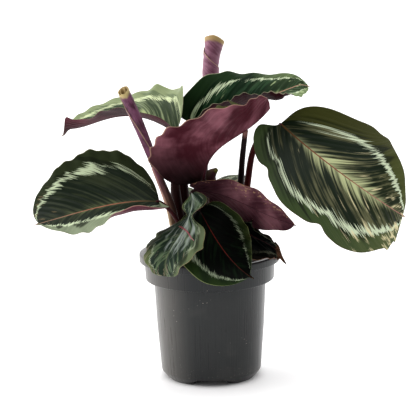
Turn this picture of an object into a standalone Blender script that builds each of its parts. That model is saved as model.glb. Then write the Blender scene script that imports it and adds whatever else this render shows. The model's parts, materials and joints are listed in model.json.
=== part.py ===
"""Potted calathea: patterned leaves on long stems, in soil, in a round plastic nursery pot.

The pot stands on the ground with its axis on the world Z axis, and the plant's front faces -Y.
Everything is laid out in millimetres and scaled to metres when an object is made.
"""

import math
from dataclasses import dataclass

import bpy
import numpy as np
from mathutils import Vector

MM = 0.001
COLLECTION = "potted_calathea"

# Pot, in millimetres
POT_HEIGHT = 108.0
WALL = 1.2
EDGE = 1.2
LIP_RADIUS = 60.0
LIP_DROP = 6.5
LIP_THICKNESS = 2.0
COLLAR_TOP_RADIUS = 55.8
COLLAR_FOOT_RADIUS = 54.9
COLLAR_BOTTOM = 85.6
COLLAR_BEVEL = 1.4
BODY_TOP = 84.0
BODY_TOP_RADIUS = 47.8
BODY_MIDDLE = 45.4
BODY_MIDDLE_RADIUS = 45.9
BODY_BOTTOM_RADIUS = 42.8
FOOT_HEIGHT = 6.0
FOOT_RADIUS = 38.5
FOOT_RING_INNER_RADIUS = 33.5
PAD_RADIUS = 15.0
CHANNEL_HEIGHT = 5.5
DRAFT = 1.0
TURN_STEPS = 48
CUT_PAST = 1.0
NOTCH_COUNT = 4
NOTCH_TOP_WIDTH = 22.0
NOTCH_GROUND_WIDTH = 44.0
NOTCH_DEPTH = 18.0
DRAIN_COUNT = 8
DRAIN_SIDES = 12
DRAIN_RADIUS = 3.0
DRAIN_CIRCLE_RADIUS = 24.5

# Soil and the crown that the stems rise from
GAP = 0.3
SOIL_TOP = 95.0
SOIL_SLOPE = 1.5
SOIL_FLAT_RADIUS = 32.0
SOIL_SHOULDER_RADIUS = 42.0
CROWN_TOP = 100.0
CROWN_CENTRE = (-1.5, 1.0)
CROWN_HALF_SIZES = (31.0, 17.0)
CROWN_TOP_SHARE = 0.92
CROWN_SIDES = 32

# Leaves
BLADE_THICKNESS = 0.6
BLADE_ROWS = 15
BLADE_COLUMNS = 8
BASE_HALF_WIDTH = 1.5
TIP_HALF_WIDTH = 0.8
OVAL_END = 0.95
DRIP_START = 0.8
DRIP_SHARE = 0.16
LOBE_REACH = 0.06
LEAST_CURL = 0.0001
RIB_SAMPLES = 200

# Stems
STEM_FOOT = CROWN_TOP + 1.5
STEM_STEPS = 4
STEM_BEVEL_RESOLUTION = 1
ROLL_STEPS = 5
ROLL_BEVEL_RESOLUTION = 2

BLADE_COLOUR = (0.035, 0.07, 0.02)
UNDERSIDE_COLOUR = (0.13, 0.02, 0.045)
STEM_COLOUR = (0.16, 0.04, 0.035)
ROLL_COLOUR = (0.17, 0.035, 0.07)
BUD_COLOUR = (0.12, 0.03, 0.04)
DARK_STEM_COLOUR = (0.02, 0.008, 0.01)
CROWN_COLOUR = (0.1, 0.05, 0.035)
POT_COLOUR = (0.04, 0.043, 0.04)
SOIL_COLOUR = (0.015, 0.01, 0.007)


@dataclass(frozen=True)
class Half:
    """One half of a blade, from the midrib out to the margin.

    fold is how far it rises from flat at the base, middle and tip, and curl is how much more
    it bends on the way out to the margin, all in degrees. lobe is how far its rounded corner
    reaches back past the stem, as a share of the width.
    """

    width: float
    fold: tuple
    curl: tuple = (0, 0, 0)
    lobe: float = 0.1


@dataclass(frozen=True)
class Blade:
    """A leaf blade hung on its midrib.

    rib holds the four control points of the midrib's Bezier curve, from the stem outward.
    facing is the way that the upper side faces at the base, middle and tip. pinch narrows the
    blade to a waist: the place along it, how much it narrows, and how long the waist is.
    skew is how much further out the right half is at its widest.
    """

    name: str
    rib: tuple
    facing: tuple
    left: Half
    right: Half
    widest: float = 0.44
    fullness: float = 0.6
    skew: float = 0.0
    pinch: tuple = ()
    colour: tuple = BLADE_COLOUR


@dataclass(frozen=True)
class Stem:
    """A round stem or a rolled leaf: the points that it passes through, and its radii."""

    name: str
    route: tuple
    radii: tuple
    colour: tuple = STEM_COLOUR
    steps: int = STEM_STEPS
    bevel_resolution: int = STEM_BEVEL_RESOLUTION


BLADES = (
    Blade(
        "blade_right",
        rib=((62, 4, 216), (87, -9, 193), (128, -60, 168), (165, -14, 138)),
        facing=((0.0, -0.7, 0.7), (0.4, -0.7, 0.6), (0.4, -0.9, 0.2)),
        left=Half(62, fold=(15, 0, 5), curl=(5, -5, 5), lobe=0.05),
        right=Half(67, fold=(15, 5, 5), curl=(5, 0, 0), lobe=0.25),
        widest=0.50,
        fullness=0.5,
    ),
    Blade(
        "blade_left",
        rib=((-41, -33, 158), (-73, -40, 164), (-113, -31, 148), (-143, -60, 146)),
        facing=((0.0, -0.4, 0.9), (-0.1, -0.5, 0.85), (-0.2, -0.6, 0.75)),
        left=Half(45, fold=(55, 25, 5), curl=(-10, 10, -5), lobe=0.2),
        right=Half(51, fold=(10, 20, -5), curl=(0, 20, -5), lobe=0.0),
        widest=0.45,
        fullness=0.5,
    ),
    Blade(
        "blade_back_left",
        rib=((-26, 3, 211), (-80, 57, 239), (-103, 34, 200), (-129, 42, 212)),
        facing=((-0.2, -0.2, 0.95), (0.1, -0.15, 1.0), (0.0, 0.0, 1.0)),
        left=Half(42, fold=(40, 20, 30), curl=(25, 0, 20), lobe=0.2),
        right=Half(41, fold=(50, 15, 25), curl=(40, 0, 10), lobe=0.1),
        widest=0.40,
        fullness=0.6,
    ),
    Blade(
        "blade_top",
        rib=((-9, 22, 210), (28, 10, 230), (53, 29, 236), (89, 28, 249)),
        facing=((0.05, -0.35, 0.95), (-0.1, -0.1, 1.0), (-0.05, -0.25, 0.95)),
        left=Half(43, fold=(70, 40, 15), curl=(20, -20, -5), lobe=0.3),
        right=Half(43, fold=(30, 20, -15), curl=(15, 5, -5), lobe=0.15),
        widest=0.43,
        fullness=0.55,
    ),
    Blade(
        "blade_centre",
        rib=((-4, -20, 172), (-2, -38, 212), (28, -66, 212), (52, -31, 235)),
        facing=((-0.5, 0.65, 0.55), (-0.45, 0.3, 0.8), (-0.6, 0.4, 0.7)),
        left=Half(36, fold=(55, 60, 60), curl=(0, 10, 0), lobe=0.3),
        right=Half(56, fold=(35, 30, 30), curl=(-5, -10, -20), lobe=0.15),
        widest=0.43,
        fullness=0.65,
        colour=UNDERSIDE_COLOUR,
    ),
    Blade(
        "blade_front",
        rib=((-8, -39, 153), (-3, -56, 147), (12, -70, 114), (36, -65, 99)),
        facing=((0.1, -0.65, 0.75), (0.35, -0.85, 0.4), (-0.05, -1.0, 0.2)),
        left=Half(37, fold=(10, -5, -15), curl=(0, -20, -30), lobe=0.2),
        right=Half(39, fold=(-30, -10, -15), curl=(0, 0, -30), lobe=0.2),
        widest=0.46,
        fullness=0.6,
    ),
    Blade(
        "blade_low_right",
        rib=((-10, -15, 164), (18, -19, 165), (42, -31, 146), (74, -32, 140)),
        facing=((0.2, 0.65, 0.75), (0.25, 0.75, 0.65), (0.25, 0.75, 0.6)),
        left=Half(25, fold=(10, 5, -5), curl=(15, 5, -10)),
        right=Half(25, fold=(-5, 0, -5), curl=(-5, 0, -10)),
        colour=UNDERSIDE_COLOUR,
    ),
    Blade(
        "blade_front_left",
        rib=((-14, -43, 167), (-11, -67, 138), (-42, -83, 131), (-35, -78, 105)),
        facing=((-0.15, -0.95, 0.35), (-0.4, -0.9, 0.25), (-0.55, -0.8, 0.2)),
        left=Half(27, fold=(10, 15, 25), curl=(10, 5, -5), lobe=0.1),
        right=Half(28, fold=(0, -5, 15), curl=(0, -30, -20), lobe=0.0),
        widest=0.66,
        fullness=0.4,
        skew=0.08,
        pinch=(0.28, 0.8, 0.1),
    ),
    Blade(
        "blade_rim_right",
        rib=((22, -25, 139), (32, -40, 125), (50, -20, 124), (62, -10, 103)),
        facing=((0.0, -0.55, 0.85), (-0.25, -0.5, 0.8), (0.85, -0.35, 0.45)),
        left=Half(19, fold=(-15, 0, 5), curl=(-10, 0, 5), lobe=0.0),
        right=Half(20, fold=(-20, 0, 5), curl=(-15, 0, 5), lobe=0.0),
        widest=0.37,
        fullness=1.0,
    ),
    Blade(
        "blade_back_right",
        rib=((5, 20, 157), (17, 26, 163), (29, 32, 171), (42, 38, 176)),
        facing=((0.0, -0.05, 1.0), (0.0, -0.1, 1.0), (0.0, -0.1, 1.0)),
        left=Half(17, fold=(10, 10, 10)),
        right=Half(17, fold=(10, 10, 10)),
    ),
    Blade(
        "blade_back",
        rib=((-8, 18, 146), (-14, 23, 150), (-20, 27, 154), (-26, 32, 159)),
        facing=((0.1, -0.6, 0.8), (0.1, -0.6, 0.8), (0.1, -0.6, 0.8)),
        left=Half(9, fold=(0, 0, 0)),
        right=Half(9, fold=(0, 0, 0)),
    ),
)

STEMS = (
    Stem(
        "petiole_right",
        route=(
            (22, 8, STEM_FOOT),
            (29, 12, 135),
            (33, 11, 165),
            (38, 8, 196),
            (48, 6, 212),
            (60.6, 5, 217),
        ),
        radii=(3.0, 2.8, 2.6, 2.4, 2.2, 2.0),
    ),
    Stem(
        "petiole_left",
        route=(
            (-18, -10, STEM_FOOT),
            (-21, -24, 125),
            (-26, -33, 141),
            (-32, -35, 151),
            (-40.2, -33, 157.8),
        ),
        radii=(2.2, 2.0, 1.8, 1.7, 1.6),
    ),
    Stem(
        "petiole_back_left",
        route=((-14, 9, STEM_FOOT), (-18, 12, 140), (-22, 8, 180), (-25.5, 2.6, 210.3)),
        radii=(2.4, 2.3, 2.2, 2.0),
    ),
    Stem(
        "petiole_top",
        route=((-6, 6, STEM_FOOT), (-9, 12, 140), (-12, 20, 180), (-9.6, 21.8, 209.3)),
        radii=(2.6, 2.5, 2.4, 2.2),
    ),
    Stem(
        "petiole_centre",
        route=(
            (-3, -3, STEM_FOOT),
            (-5, 2, 140),
            (-6, 0, 157),
            (-5, -10, 167),
            (-4, -18.4, 170.4),
        ),
        radii=(2.6, 2.5, 2.4, 2.3, 2.2),
    ),
    Stem(
        "petiole_front",
        route=((0, -12, STEM_FOOT), (-3, -20, 130), (-6, -28, 150), (-8.2, -37.8, 153.5)),
        radii=(2.2, 2.1, 2.0, 1.8),
    ),
    Stem(
        "petiole_low_right",
        route=(
            (6, -7, STEM_FOOT),
            (-3, -9, 130),
            (-12, -12, 152),
            (-14, -14, 161),
            (-11, -14.9, 164),
        ),
        radii=(2.0, 1.9, 1.8, 1.7, 1.6),
    ),
    Stem(
        "petiole_front_left",
        route=(
            (-9, -10, STEM_FOOT),
            (-12, -20, 135),
            (-14, -32, 162),
            (-14.1, -41.8, 168.2),
        ),
        radii=(2.0, 1.9, 1.8, 1.6),
    ),
    Stem(
        "petiole_rim_right",
        route=((13, -9, STEM_FOOT), (15, -12, 125), (20, -19, 140), (21.6, -23.8, 139.7)),
        radii=(2.0, 1.9, 1.8, 1.6),
    ),
    Stem(
        "petiole_back_right",
        route=((9, 10, STEM_FOOT), (5, 14, 130), (2, 16, 151), (3.9, 19.4, 156.4)),
        radii=(1.8, 1.7, 1.6, 1.5),
    ),
    Stem(
        "petiole_back",
        route=((-6, 14, STEM_FOOT), (-6, 16, 130), (-7, 17, 143), (-7.6, 17.6, 145.5)),
        radii=(1.6, 1.5, 1.4, 1.4),
    ),
    Stem(
        "stalk_brown",
        route=((-21, 0, STEM_FOOT), (-26, -6, 122), (-31, -11, 140), (-33, -13, 152)),
        radii=(2.4, 2.3, 2.0, 1.6),
    ),
    Stem(
        "stem_dark",
        route=(
            (17, 0, STEM_FOOT),
            (23, 4, 130),
            (27, 3, 161),
            (29, -1, 187),
            (32, -6, 213),
        ),
        radii=(2.6, 2.5, 2.4, 2.2, 2.2),
        colour=DARK_STEM_COLOUR,
    ),
    Stem(
        "petiole_rolled_left",
        route=(
            (-26, -6, STEM_FOOT),
            (-28, -17, 122),
            (-33, -22, 148),
            (-38, -22, 166),
            (-44, -20, 184),
        ),
        radii=(3.9, 3.9, 3.8, 3.6, 3.0),
    ),
    Stem(
        "rolled_leaf_left",
        route=(
            (-44.6, -19.8, 186),
            (-49, -18, 200),
            (-56, -18, 219),
            (-63, -19, 236),
            (-70, -20, 252),
        ),
        radii=(3.0, 4.2, 4.8, 5.0, 5.0),
        colour=ROLL_COLOUR,
        steps=ROLL_STEPS,
        bevel_resolution=ROLL_BEVEL_RESOLUTION,
    ),
    Stem(
        "petiole_rolled_tall",
        route=((2, 13, STEM_FOOT), (-3, 30, 148), (-3, 39, 181), (1, 49, 214)),
        radii=(3.2, 3.2, 3.4, 3.8),
    ),
    Stem(
        "rolled_leaf_tall",
        route=((1.4, 49.7, 216), (4, 60, 248), (5, 62, 266), (7, 64, 284)),
        radii=(3.8, 7.2, 7.4, 8.8),
        colour=ROLL_COLOUR,
        steps=ROLL_STEPS,
        bevel_resolution=ROLL_BEVEL_RESOLUTION,
    ),
    Stem(
        "bud",
        route=(
            (4, 2, STEM_FOOT),
            (3, 4, 140),
            (2, 0, 158),
            (2, -6, 168),
            (3, -9, 175),
            (6, -10, 181),
        ),
        radii=(2.0, 2.0, 2.2, 4.2, 4.2, 1.6),
        colour=BUD_COLOUR,
        bevel_resolution=ROLL_BEVEL_RESOLUTION,
    ),
)


def clear_scene():
    """Remove every object that the file starts with."""
    for item in list(bpy.data.objects):
        bpy.data.objects.remove(item, do_unlink=True)


def new_collection(name):
    """Make a collection in the scene."""
    collection = bpy.data.collections.new(name)
    bpy.context.scene.collection.children.link(collection)
    return collection


def move_to(item, collection):
    """Put an object in one collection only."""
    for owner in list(item.users_collection):
        owner.objects.unlink(item)
    collection.objects.link(item)


def paint(item, colour, roughness):
    """Give an object its own Principled material."""
    material = bpy.data.materials.new(item.name)
    material.use_nodes = True
    shader = material.node_tree.nodes["Principled BSDF"]
    shader.inputs["Base Color"].default_value = (*colour, 1.0)
    shader.inputs["Roughness"].default_value = roughness
    item.data.materials.clear()
    item.data.materials.append(material)


def unit(vectors):
    """Scale vectors in the last axis to length one."""
    return vectors / np.linalg.norm(vectors, axis=-1, keepdims=True)


# Pot and soil ---------------------------------------------------------------------------------


def turned(name, profile, collection):
    """Turn a profile of (radius, height) points, in millimetres, about the Z axis."""
    mesh = bpy.data.meshes.new(name)
    points = [(radius * MM, 0.0, height * MM) for radius, height in profile]
    edges = [(index, index + 1) for index in range(len(points) - 1)]
    mesh.from_pydata(points, edges, [])
    item = bpy.data.objects.new(name, mesh)
    collection.objects.link(item)
    screw = item.modifiers.new("Turn", "SCREW")
    screw.steps = TURN_STEPS
    screw.render_steps = TURN_STEPS
    screw.use_merge_vertices = True
    screw.merge_threshold = 0.00001
    return item


def pot_profile():
    """The pot's section: up the inside from the middle of the floor, over the lip and down."""
    floor = CHANNEL_HEIGHT + WALL
    skirt = LIP_RADIUS - WALL
    inside = [
        (0.0, floor),
        (BODY_BOTTOM_RADIUS - 2 * EDGE, floor),
        (BODY_BOTTOM_RADIUS - WALL, floor + EDGE),
        (BODY_MIDDLE_RADIUS - WALL, BODY_MIDDLE),
        (BODY_TOP_RADIUS - WALL, BODY_TOP + WALL),
        (COLLAR_FOOT_RADIUS - COLLAR_BEVEL - WALL / 2, COLLAR_BOTTOM + WALL),
        (COLLAR_FOOT_RADIUS - WALL, COLLAR_BOTTOM + COLLAR_BEVEL + WALL),
        (COLLAR_TOP_RADIUS - WALL, POT_HEIGHT - EDGE),
        (COLLAR_TOP_RADIUS, POT_HEIGHT),
    ]
    lip = [
        (LIP_RADIUS - EDGE, POT_HEIGHT),
        (LIP_RADIUS, POT_HEIGHT - EDGE),
        (LIP_RADIUS, POT_HEIGHT - LIP_DROP),
        (skirt, POT_HEIGHT - LIP_DROP),
        (skirt, POT_HEIGHT - LIP_THICKNESS),
        (COLLAR_TOP_RADIUS, POT_HEIGHT - LIP_THICKNESS),
    ]
    outside = [
        (COLLAR_FOOT_RADIUS, COLLAR_BOTTOM + COLLAR_BEVEL),
        (COLLAR_FOOT_RADIUS - COLLAR_BEVEL, COLLAR_BOTTOM),
        (BODY_TOP_RADIUS, BODY_TOP),
        (BODY_MIDDLE_RADIUS, BODY_MIDDLE),
        (BODY_BOTTOM_RADIUS, FOOT_HEIGHT),
        (FOOT_RADIUS, 0.0),
        (FOOT_RING_INNER_RADIUS, 0.0),
        (FOOT_RING_INNER_RADIUS - DRAFT, CHANNEL_HEIGHT),
        (PAD_RADIUS + DRAFT, CHANNEL_HEIGHT),
        (PAD_RADIUS, 0.0),
        (0.0, 0.0),
    ]
    return inside + lip + outside


def cut(item, cutter, collection):
    """Take a cutter's volume out of an object."""
    move_to(cutter, collection)
    cutter.hide_render = True
    cutter.display_type = "WIRE"
    boolean = item.modifiers.new(cutter.name, "BOOLEAN")
    boolean.operation = "DIFFERENCE"
    boolean.solver = "EXACT"
    boolean.object = cutter


def notch_cutter(index):
    """A block with sloping ends that opens the foot ring from outside."""
    angle = -math.pi / 2 + index * 2 * math.pi / NOTCH_COUNT
    height = CHANNEL_HEIGHT + CUT_PAST
    reach = FOOT_RADIUS + CUT_PAST
    slope = (NOTCH_GROUND_WIDTH - NOTCH_TOP_WIDTH) / CHANNEL_HEIGHT
    bpy.ops.mesh.primitive_cube_add(size=1.0)
    cutter = bpy.context.object
    cutter.name = f"notch_cutter_{index}"
    for vertex in cutter.data.vertices:
        x, y, z = vertex.co
        width = NOTCH_TOP_WIDTH if z > 0 else NOTCH_TOP_WIDTH + slope * height
        vertex.co = Vector((x * NOTCH_DEPTH, y * width, z * height)) * MM
    middle = Vector((math.cos(angle) * reach, math.sin(angle) * reach, height / 2 - CUT_PAST))
    cutter.location = middle * MM
    cutter.rotation_euler.z = angle
    return cutter


def drain_cutter(index):
    """A round drain hole through the pot's floor."""
    angle = (index + 0.5) * 2 * math.pi / DRAIN_COUNT
    bpy.ops.mesh.primitive_cylinder_add(
        vertices=DRAIN_SIDES,
        radius=DRAIN_RADIUS * MM,
        depth=2 * (WALL + CUT_PAST) * MM,
    )
    cutter = bpy.context.object
    cutter.name = f"drain_cutter_{index}"
    reach = DRAIN_CIRCLE_RADIUS * MM
    cutter.location = (math.cos(angle) * reach, math.sin(angle) * reach, CHANNEL_HEIGHT * MM)
    return cutter


def make_pot(collection, cutters):
    """The nursery pot: hooked lip, collar, tapered body, notched foot and drain holes."""
    pot = turned("pot", pot_profile(), collection)
    for index in range(NOTCH_COUNT):
        cut(pot, notch_cutter(index), cutters)
    for index in range(DRAIN_COUNT):
        cut(pot, drain_cutter(index), cutters)
    paint(pot, POT_COLOUR, roughness=0.45)


def make_soil(collection):
    """The potting soil: it fills the pot's body and part of the collar."""
    floor = CHANNEL_HEIGHT + WALL + GAP
    reach = WALL + GAP
    profile = [
        (0.0, SOIL_TOP),
        (SOIL_FLAT_RADIUS, SOIL_TOP),
        (SOIL_SHOULDER_RADIUS, SOIL_TOP - SOIL_SLOPE),
        (COLLAR_FOOT_RADIUS - reach, SOIL_TOP - 2 * SOIL_SLOPE),
        (COLLAR_FOOT_RADIUS - reach, COLLAR_BOTTOM + COLLAR_BEVEL + reach),
        (COLLAR_FOOT_RADIUS - COLLAR_BEVEL - WALL / 2 - GAP, COLLAR_BOTTOM + reach),
        (BODY_TOP_RADIUS - reach, BODY_TOP + reach),
        (BODY_MIDDLE_RADIUS - reach, BODY_MIDDLE),
        (BODY_BOTTOM_RADIUS - reach, floor + EDGE),
        (BODY_BOTTOM_RADIUS - 2 * EDGE - GAP, floor),
        (0.0, floor),
    ]
    paint(turned("soil", profile, collection), SOIL_COLOUR, roughness=0.95)


def make_crown(collection):
    """The low clump of rootstock on the soil that every stem rises from."""
    bottom = SOIL_TOP + GAP
    height = CROWN_TOP - bottom
    bpy.ops.mesh.primitive_cone_add(
        vertices=CROWN_SIDES,
        radius1=1.0,
        radius2=CROWN_TOP_SHARE,
        depth=height * MM,
    )
    crown = bpy.context.object
    crown.name = "crown"
    for vertex in crown.data.vertices:
        vertex.co.x *= CROWN_HALF_SIZES[0] * MM
        vertex.co.y *= CROWN_HALF_SIZES[1] * MM
    crown.location = Vector((*CROWN_CENTRE, bottom + height / 2)) * MM
    move_to(crown, collection)
    paint(crown, CROWN_COLOUR, roughness=0.8)


# Leaves ---------------------------------------------------------------------------------------


def bezier(points, share):
    """Points and unit directions on a cubic Bezier curve."""
    a, b, c, d = (np.array(point, dtype=float) for point in points)
    t = share[..., None]
    place = (1 - t) ** 3 * a + 3 * (1 - t) ** 2 * t * b + 3 * (1 - t) * t**2 * c + t**3 * d
    slope = (1 - t) ** 2 * (b - a) + 2 * (1 - t) * t * (c - b) + t**2 * (d - c)
    return place, unit(slope)


def three_way(values, share):
    """Blend three values smoothly: at the base, in the middle and at the tip."""
    base, middle, tip = values
    near = base * (1 - share) * (1 - 2 * share)
    far = tip * share * (2 * share - 1)
    return near + middle * 4 * share * (1 - share) + far


def oval(share, widest, blade):
    """Half width along a blade as a share of the widest: an oval that ends in a drip tip."""
    bend = np.log(0.5) / np.log(widest)
    along = np.clip(share / OVAL_END, 0.0, 1.0)
    body = np.abs(np.sin(math.pi * along**bend)) ** blade.fullness
    drip = np.where(share > DRIP_START, DRIP_SHARE * (1 - share) / (1 - DRIP_START), 0.0)
    width = np.maximum(body, drip)
    if blade.pinch:
        place, depth, length = blade.pinch
        width = width * (1 - depth * np.exp(-(((share - place) / length) ** 2)))
    return width


def by_side(across, left, right):
    """Choose between values for the left half, where across is negative, and the right."""
    return np.where(across < 0, left, right)


def blade_points(blade, share, across):
    """Places on a blade, in millimetres.

    share runs from 0 at the stem to 1 at the tip, and across from -1 at the left margin, seen
    from above with the tip ahead, to 1 at the right one.
    """
    samples = np.linspace(0.0, 1.0, RIB_SAMPLES)
    places, _ = bezier(blade.rib, samples)
    steps = np.linalg.norm(np.diff(places, axis=0), axis=1)
    lengths = np.concatenate([[0.0], np.cumsum(steps)])
    length = lengths[-1]

    out = np.abs(across)
    widest = by_side(across, blade.left.width, blade.right.width)
    lobe = by_side(across, blade.left.lobe, blade.right.lobe)
    least = np.where(share < 0.5, BASE_HALF_WIDTH, TIP_HALF_WIDTH)
    peak = by_side(across, blade.widest, blade.widest + blade.skew)
    width = np.maximum(widest * oval(share, peak, blade), least)
    reach = share / LOBE_REACH
    along = length * share - lobe * widest * out**1.5 * reach * np.exp(1 - reach)

    place, ahead = bezier(blade.rib, np.interp(along, lengths, samples))
    overrun = np.minimum(along, 0.0) + np.maximum(along - length, 0.0)
    place = place + ahead * overrun[..., None]
    station = np.clip(along / length, 0.0, 1.0)

    facing = [unit(np.array(vector, dtype=float)) for vector in blade.facing]
    upward = three_way(facing, station[..., None])
    upward = unit(upward - (upward * ahead).sum(-1, keepdims=True) * ahead)
    sideways = np.cross(ahead, upward) * np.sign(across)[..., None]

    folds = [three_way(half.fold, station) for half in (blade.left, blade.right)]
    curls = [three_way(half.curl, station) for half in (blade.left, blade.right)]
    fold = np.radians(by_side(across, *folds))
    curl = np.radians(by_side(across, *curls))
    curl = np.where(np.abs(curl) < LEAST_CURL, LEAST_CURL, curl)
    angle = fold + curl * out
    run = (np.sin(angle) - np.sin(fold)) * width / curl
    rise = (np.cos(fold) - np.cos(angle)) * width / curl
    return place + sideways * run[..., None] + upward * rise[..., None]


def make_blade(blade, collection):
    """A leaf blade: a grid bent to the leaf's shape and given its thickness."""
    bpy.ops.mesh.primitive_grid_add(
        x_subdivisions=BLADE_ROWS,
        y_subdivisions=BLADE_COLUMNS,
        size=2.0,
    )
    item = bpy.context.object
    item.name = blade.name
    corners = np.empty(len(item.data.vertices) * 3)
    item.data.vertices.foreach_get("co", corners)
    corners = corners.reshape(-1, 3)
    even = (corners[:, 0] + 1) / 2
    share = 0.5 * even + 0.25 * (1 - np.cos(math.pi * even))
    places = blade_points(blade, share, corners[:, 1]) * MM
    item.data.vertices.foreach_set("co", places.ravel())
    item.data.update()
    solidify = item.modifiers.new("Thickness", "SOLIDIFY")
    solidify.thickness = BLADE_THICKNESS * MM
    solidify.offset = 0.0
    move_to(item, collection)
    item.data.shade_smooth()
    paint(item, blade.colour, roughness=0.4)


# Stems ----------------------------------------------------------------------------------------


def smooth_route(points, steps):
    """A Catmull-Rom curve through rows of numbers, with the given steps between them."""
    rows = np.array(points, dtype=float)
    rows = np.vstack([2 * rows[0] - rows[1], rows, 2 * rows[-1] - rows[-2]])
    curve = []
    for a, b, c, d in zip(rows[:-3], rows[1:-2], rows[2:-1], rows[3:]):
        for t in np.arange(steps) / steps:
            bend = (2 * a - 5 * b + 4 * c - d) * t**2 + (3 * b - a - 3 * c + d) * t**3
            curve.append(0.5 * (2 * b + (c - a) * t + bend))
    curve.append(rows[-2])
    return np.array(curve)


def make_stem(stem, collection):
    """A stem as a capped tube whose radius follows the list of radii."""
    rows = [(*place, radius) for place, radius in zip(stem.route, stem.radii)]
    path = smooth_route(rows, stem.steps)
    curve = bpy.data.curves.new(stem.name, "CURVE")
    curve.dimensions = "3D"
    curve.bevel_depth = MM
    curve.bevel_resolution = stem.bevel_resolution
    curve.use_fill_caps = True
    spline = curve.splines.new("POLY")
    spline.points.add(len(path) - 1)
    for point, (x, y, z, radius) in zip(spline.points, path):
        point.co = (x * MM, y * MM, z * MM, 1.0)
        point.radius = radius
    item = bpy.data.objects.new(stem.name, curve)
    collection.objects.link(item)
    paint(item, stem.colour, roughness=0.45)


def main():
    """Build the plant and its pot."""
    clear_scene()
    parts = new_collection(COLLECTION)
    cutters = new_collection("cutters")
    make_pot(parts, cutters)
    make_soil(parts)
    make_crown(parts)
    for blade in BLADES:
        make_blade(blade, parts)
    for stem in STEMS:
        make_stem(stem, parts)


main()
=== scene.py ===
"""Looks of the potted calathea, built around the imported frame.

The leaves, stems, scrolls and soil are surfaces worked out with numpy in millimetres, in the
frame's own axes: the pot stands on z = 0 with its axis on Z, and the plant's front faces -Y.
Each piece takes the place of the CAD node that holds its room.
"""

from __future__ import annotations

import json
import logging
import math
from collections.abc import Callable
from dataclasses import dataclass, field
from enum import Enum

import bpy
import numpy as np
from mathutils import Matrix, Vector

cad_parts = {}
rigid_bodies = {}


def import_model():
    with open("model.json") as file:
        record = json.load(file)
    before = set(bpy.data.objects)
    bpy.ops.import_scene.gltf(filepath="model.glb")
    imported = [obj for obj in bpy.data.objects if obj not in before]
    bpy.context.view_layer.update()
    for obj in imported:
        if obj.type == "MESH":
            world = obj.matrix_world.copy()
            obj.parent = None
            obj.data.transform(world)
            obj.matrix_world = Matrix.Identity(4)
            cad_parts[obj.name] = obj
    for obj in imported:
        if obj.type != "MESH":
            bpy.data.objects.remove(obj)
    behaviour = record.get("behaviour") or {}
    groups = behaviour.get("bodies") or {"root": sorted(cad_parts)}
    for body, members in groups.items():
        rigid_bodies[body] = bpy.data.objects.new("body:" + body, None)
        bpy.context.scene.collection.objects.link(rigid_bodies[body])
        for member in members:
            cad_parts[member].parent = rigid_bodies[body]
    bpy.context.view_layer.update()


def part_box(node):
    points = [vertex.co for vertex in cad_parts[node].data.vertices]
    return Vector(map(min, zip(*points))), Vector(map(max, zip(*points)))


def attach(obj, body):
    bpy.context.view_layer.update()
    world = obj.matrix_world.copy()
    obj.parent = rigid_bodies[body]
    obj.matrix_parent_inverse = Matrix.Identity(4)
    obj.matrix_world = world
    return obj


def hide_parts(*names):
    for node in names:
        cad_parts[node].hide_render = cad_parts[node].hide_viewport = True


LOG = logging.getLogger("calathea")
MM = 0.001
FULL_TURN = 2 * math.pi
POLE_SHARE = 0.3  # how far the rounded end of a tube stands out, as a share of its radius

Colour = tuple[float, float, float]
Point = tuple[float, float, float]
Along = tuple[float, float, float]  # numbers for the base, the middle and the tip
Array = np.ndarray


# Numbers on arrays -----------------------------------------------------------------------------


def unit(vectors: Array) -> Array:
    """Scale the vectors in the last axis to length one."""
    return vectors / np.maximum(np.linalg.norm(vectors, axis=-1, keepdims=True), 1e-12)


def smooth_step(low: float, high: float, value: Array) -> Array:
    """Rise smoothly from 0 at low to 1 at high."""
    share = np.clip((value - low) / (high - low), 0.0, 1.0)
    return share * share * (3 - 2 * share)


def bell(value: Array, middle: float, width: Array | float) -> Array:
    """Peak at 1 in the middle and fall off with the square of the distance in widths."""
    return np.exp(-(((value - middle) / width) ** 2))


def triples(x: Array, y: Array, z: Array | float) -> Array:
    """Spread three arrays over one another's shape, and join them in triples."""
    return np.stack(np.broadcast_arrays(x, y, z), -1)


def circle(count: int) -> Array:
    """List evenly spaced angles, once round."""
    return np.linspace(0, FULL_TURN, count, endpoint=False)


def arc_lengths(line: Array) -> Array:
    """Measure how far along a line each of its points lies."""
    return np.concatenate([[0.0], np.cumsum(np.linalg.norm(np.diff(line, axis=0), axis=1))])


def bezier(points: tuple[Point, ...], share: Array) -> tuple[Array, Array]:
    """Work out a cubic Bezier curve.

    Args:
        points: The four control points.
        share: Places along the curve, from 0 to 1.

    Returns:
        The points on the curve and the unit directions that it runs in.
    """
    a, b, c, d = (np.array(point, dtype=float) for point in points)
    t = share[..., None]
    place = (1 - t) ** 3 * a + 3 * (1 - t) ** 2 * t * b + 3 * (1 - t) * t**2 * c + t**3 * d
    slope = (1 - t) ** 2 * (b - a) + 2 * (1 - t) * t * (c - b) + t**2 * (d - c)
    return place, unit(slope)


def three_way(values: tuple, share: Array) -> Array:
    """Blend three values by a parabola.

    Args:
        values: The values at the base, in the middle and at the tip.
        share: Places on the way from the base to the tip, from 0 to 1.

    Returns:
        The blended values.
    """
    base, middle, tip = values
    near = base * (1 - share) * (1 - 2 * share)
    return near + middle * 4 * share * (1 - share) + tip * share * (2 * share - 1)


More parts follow.
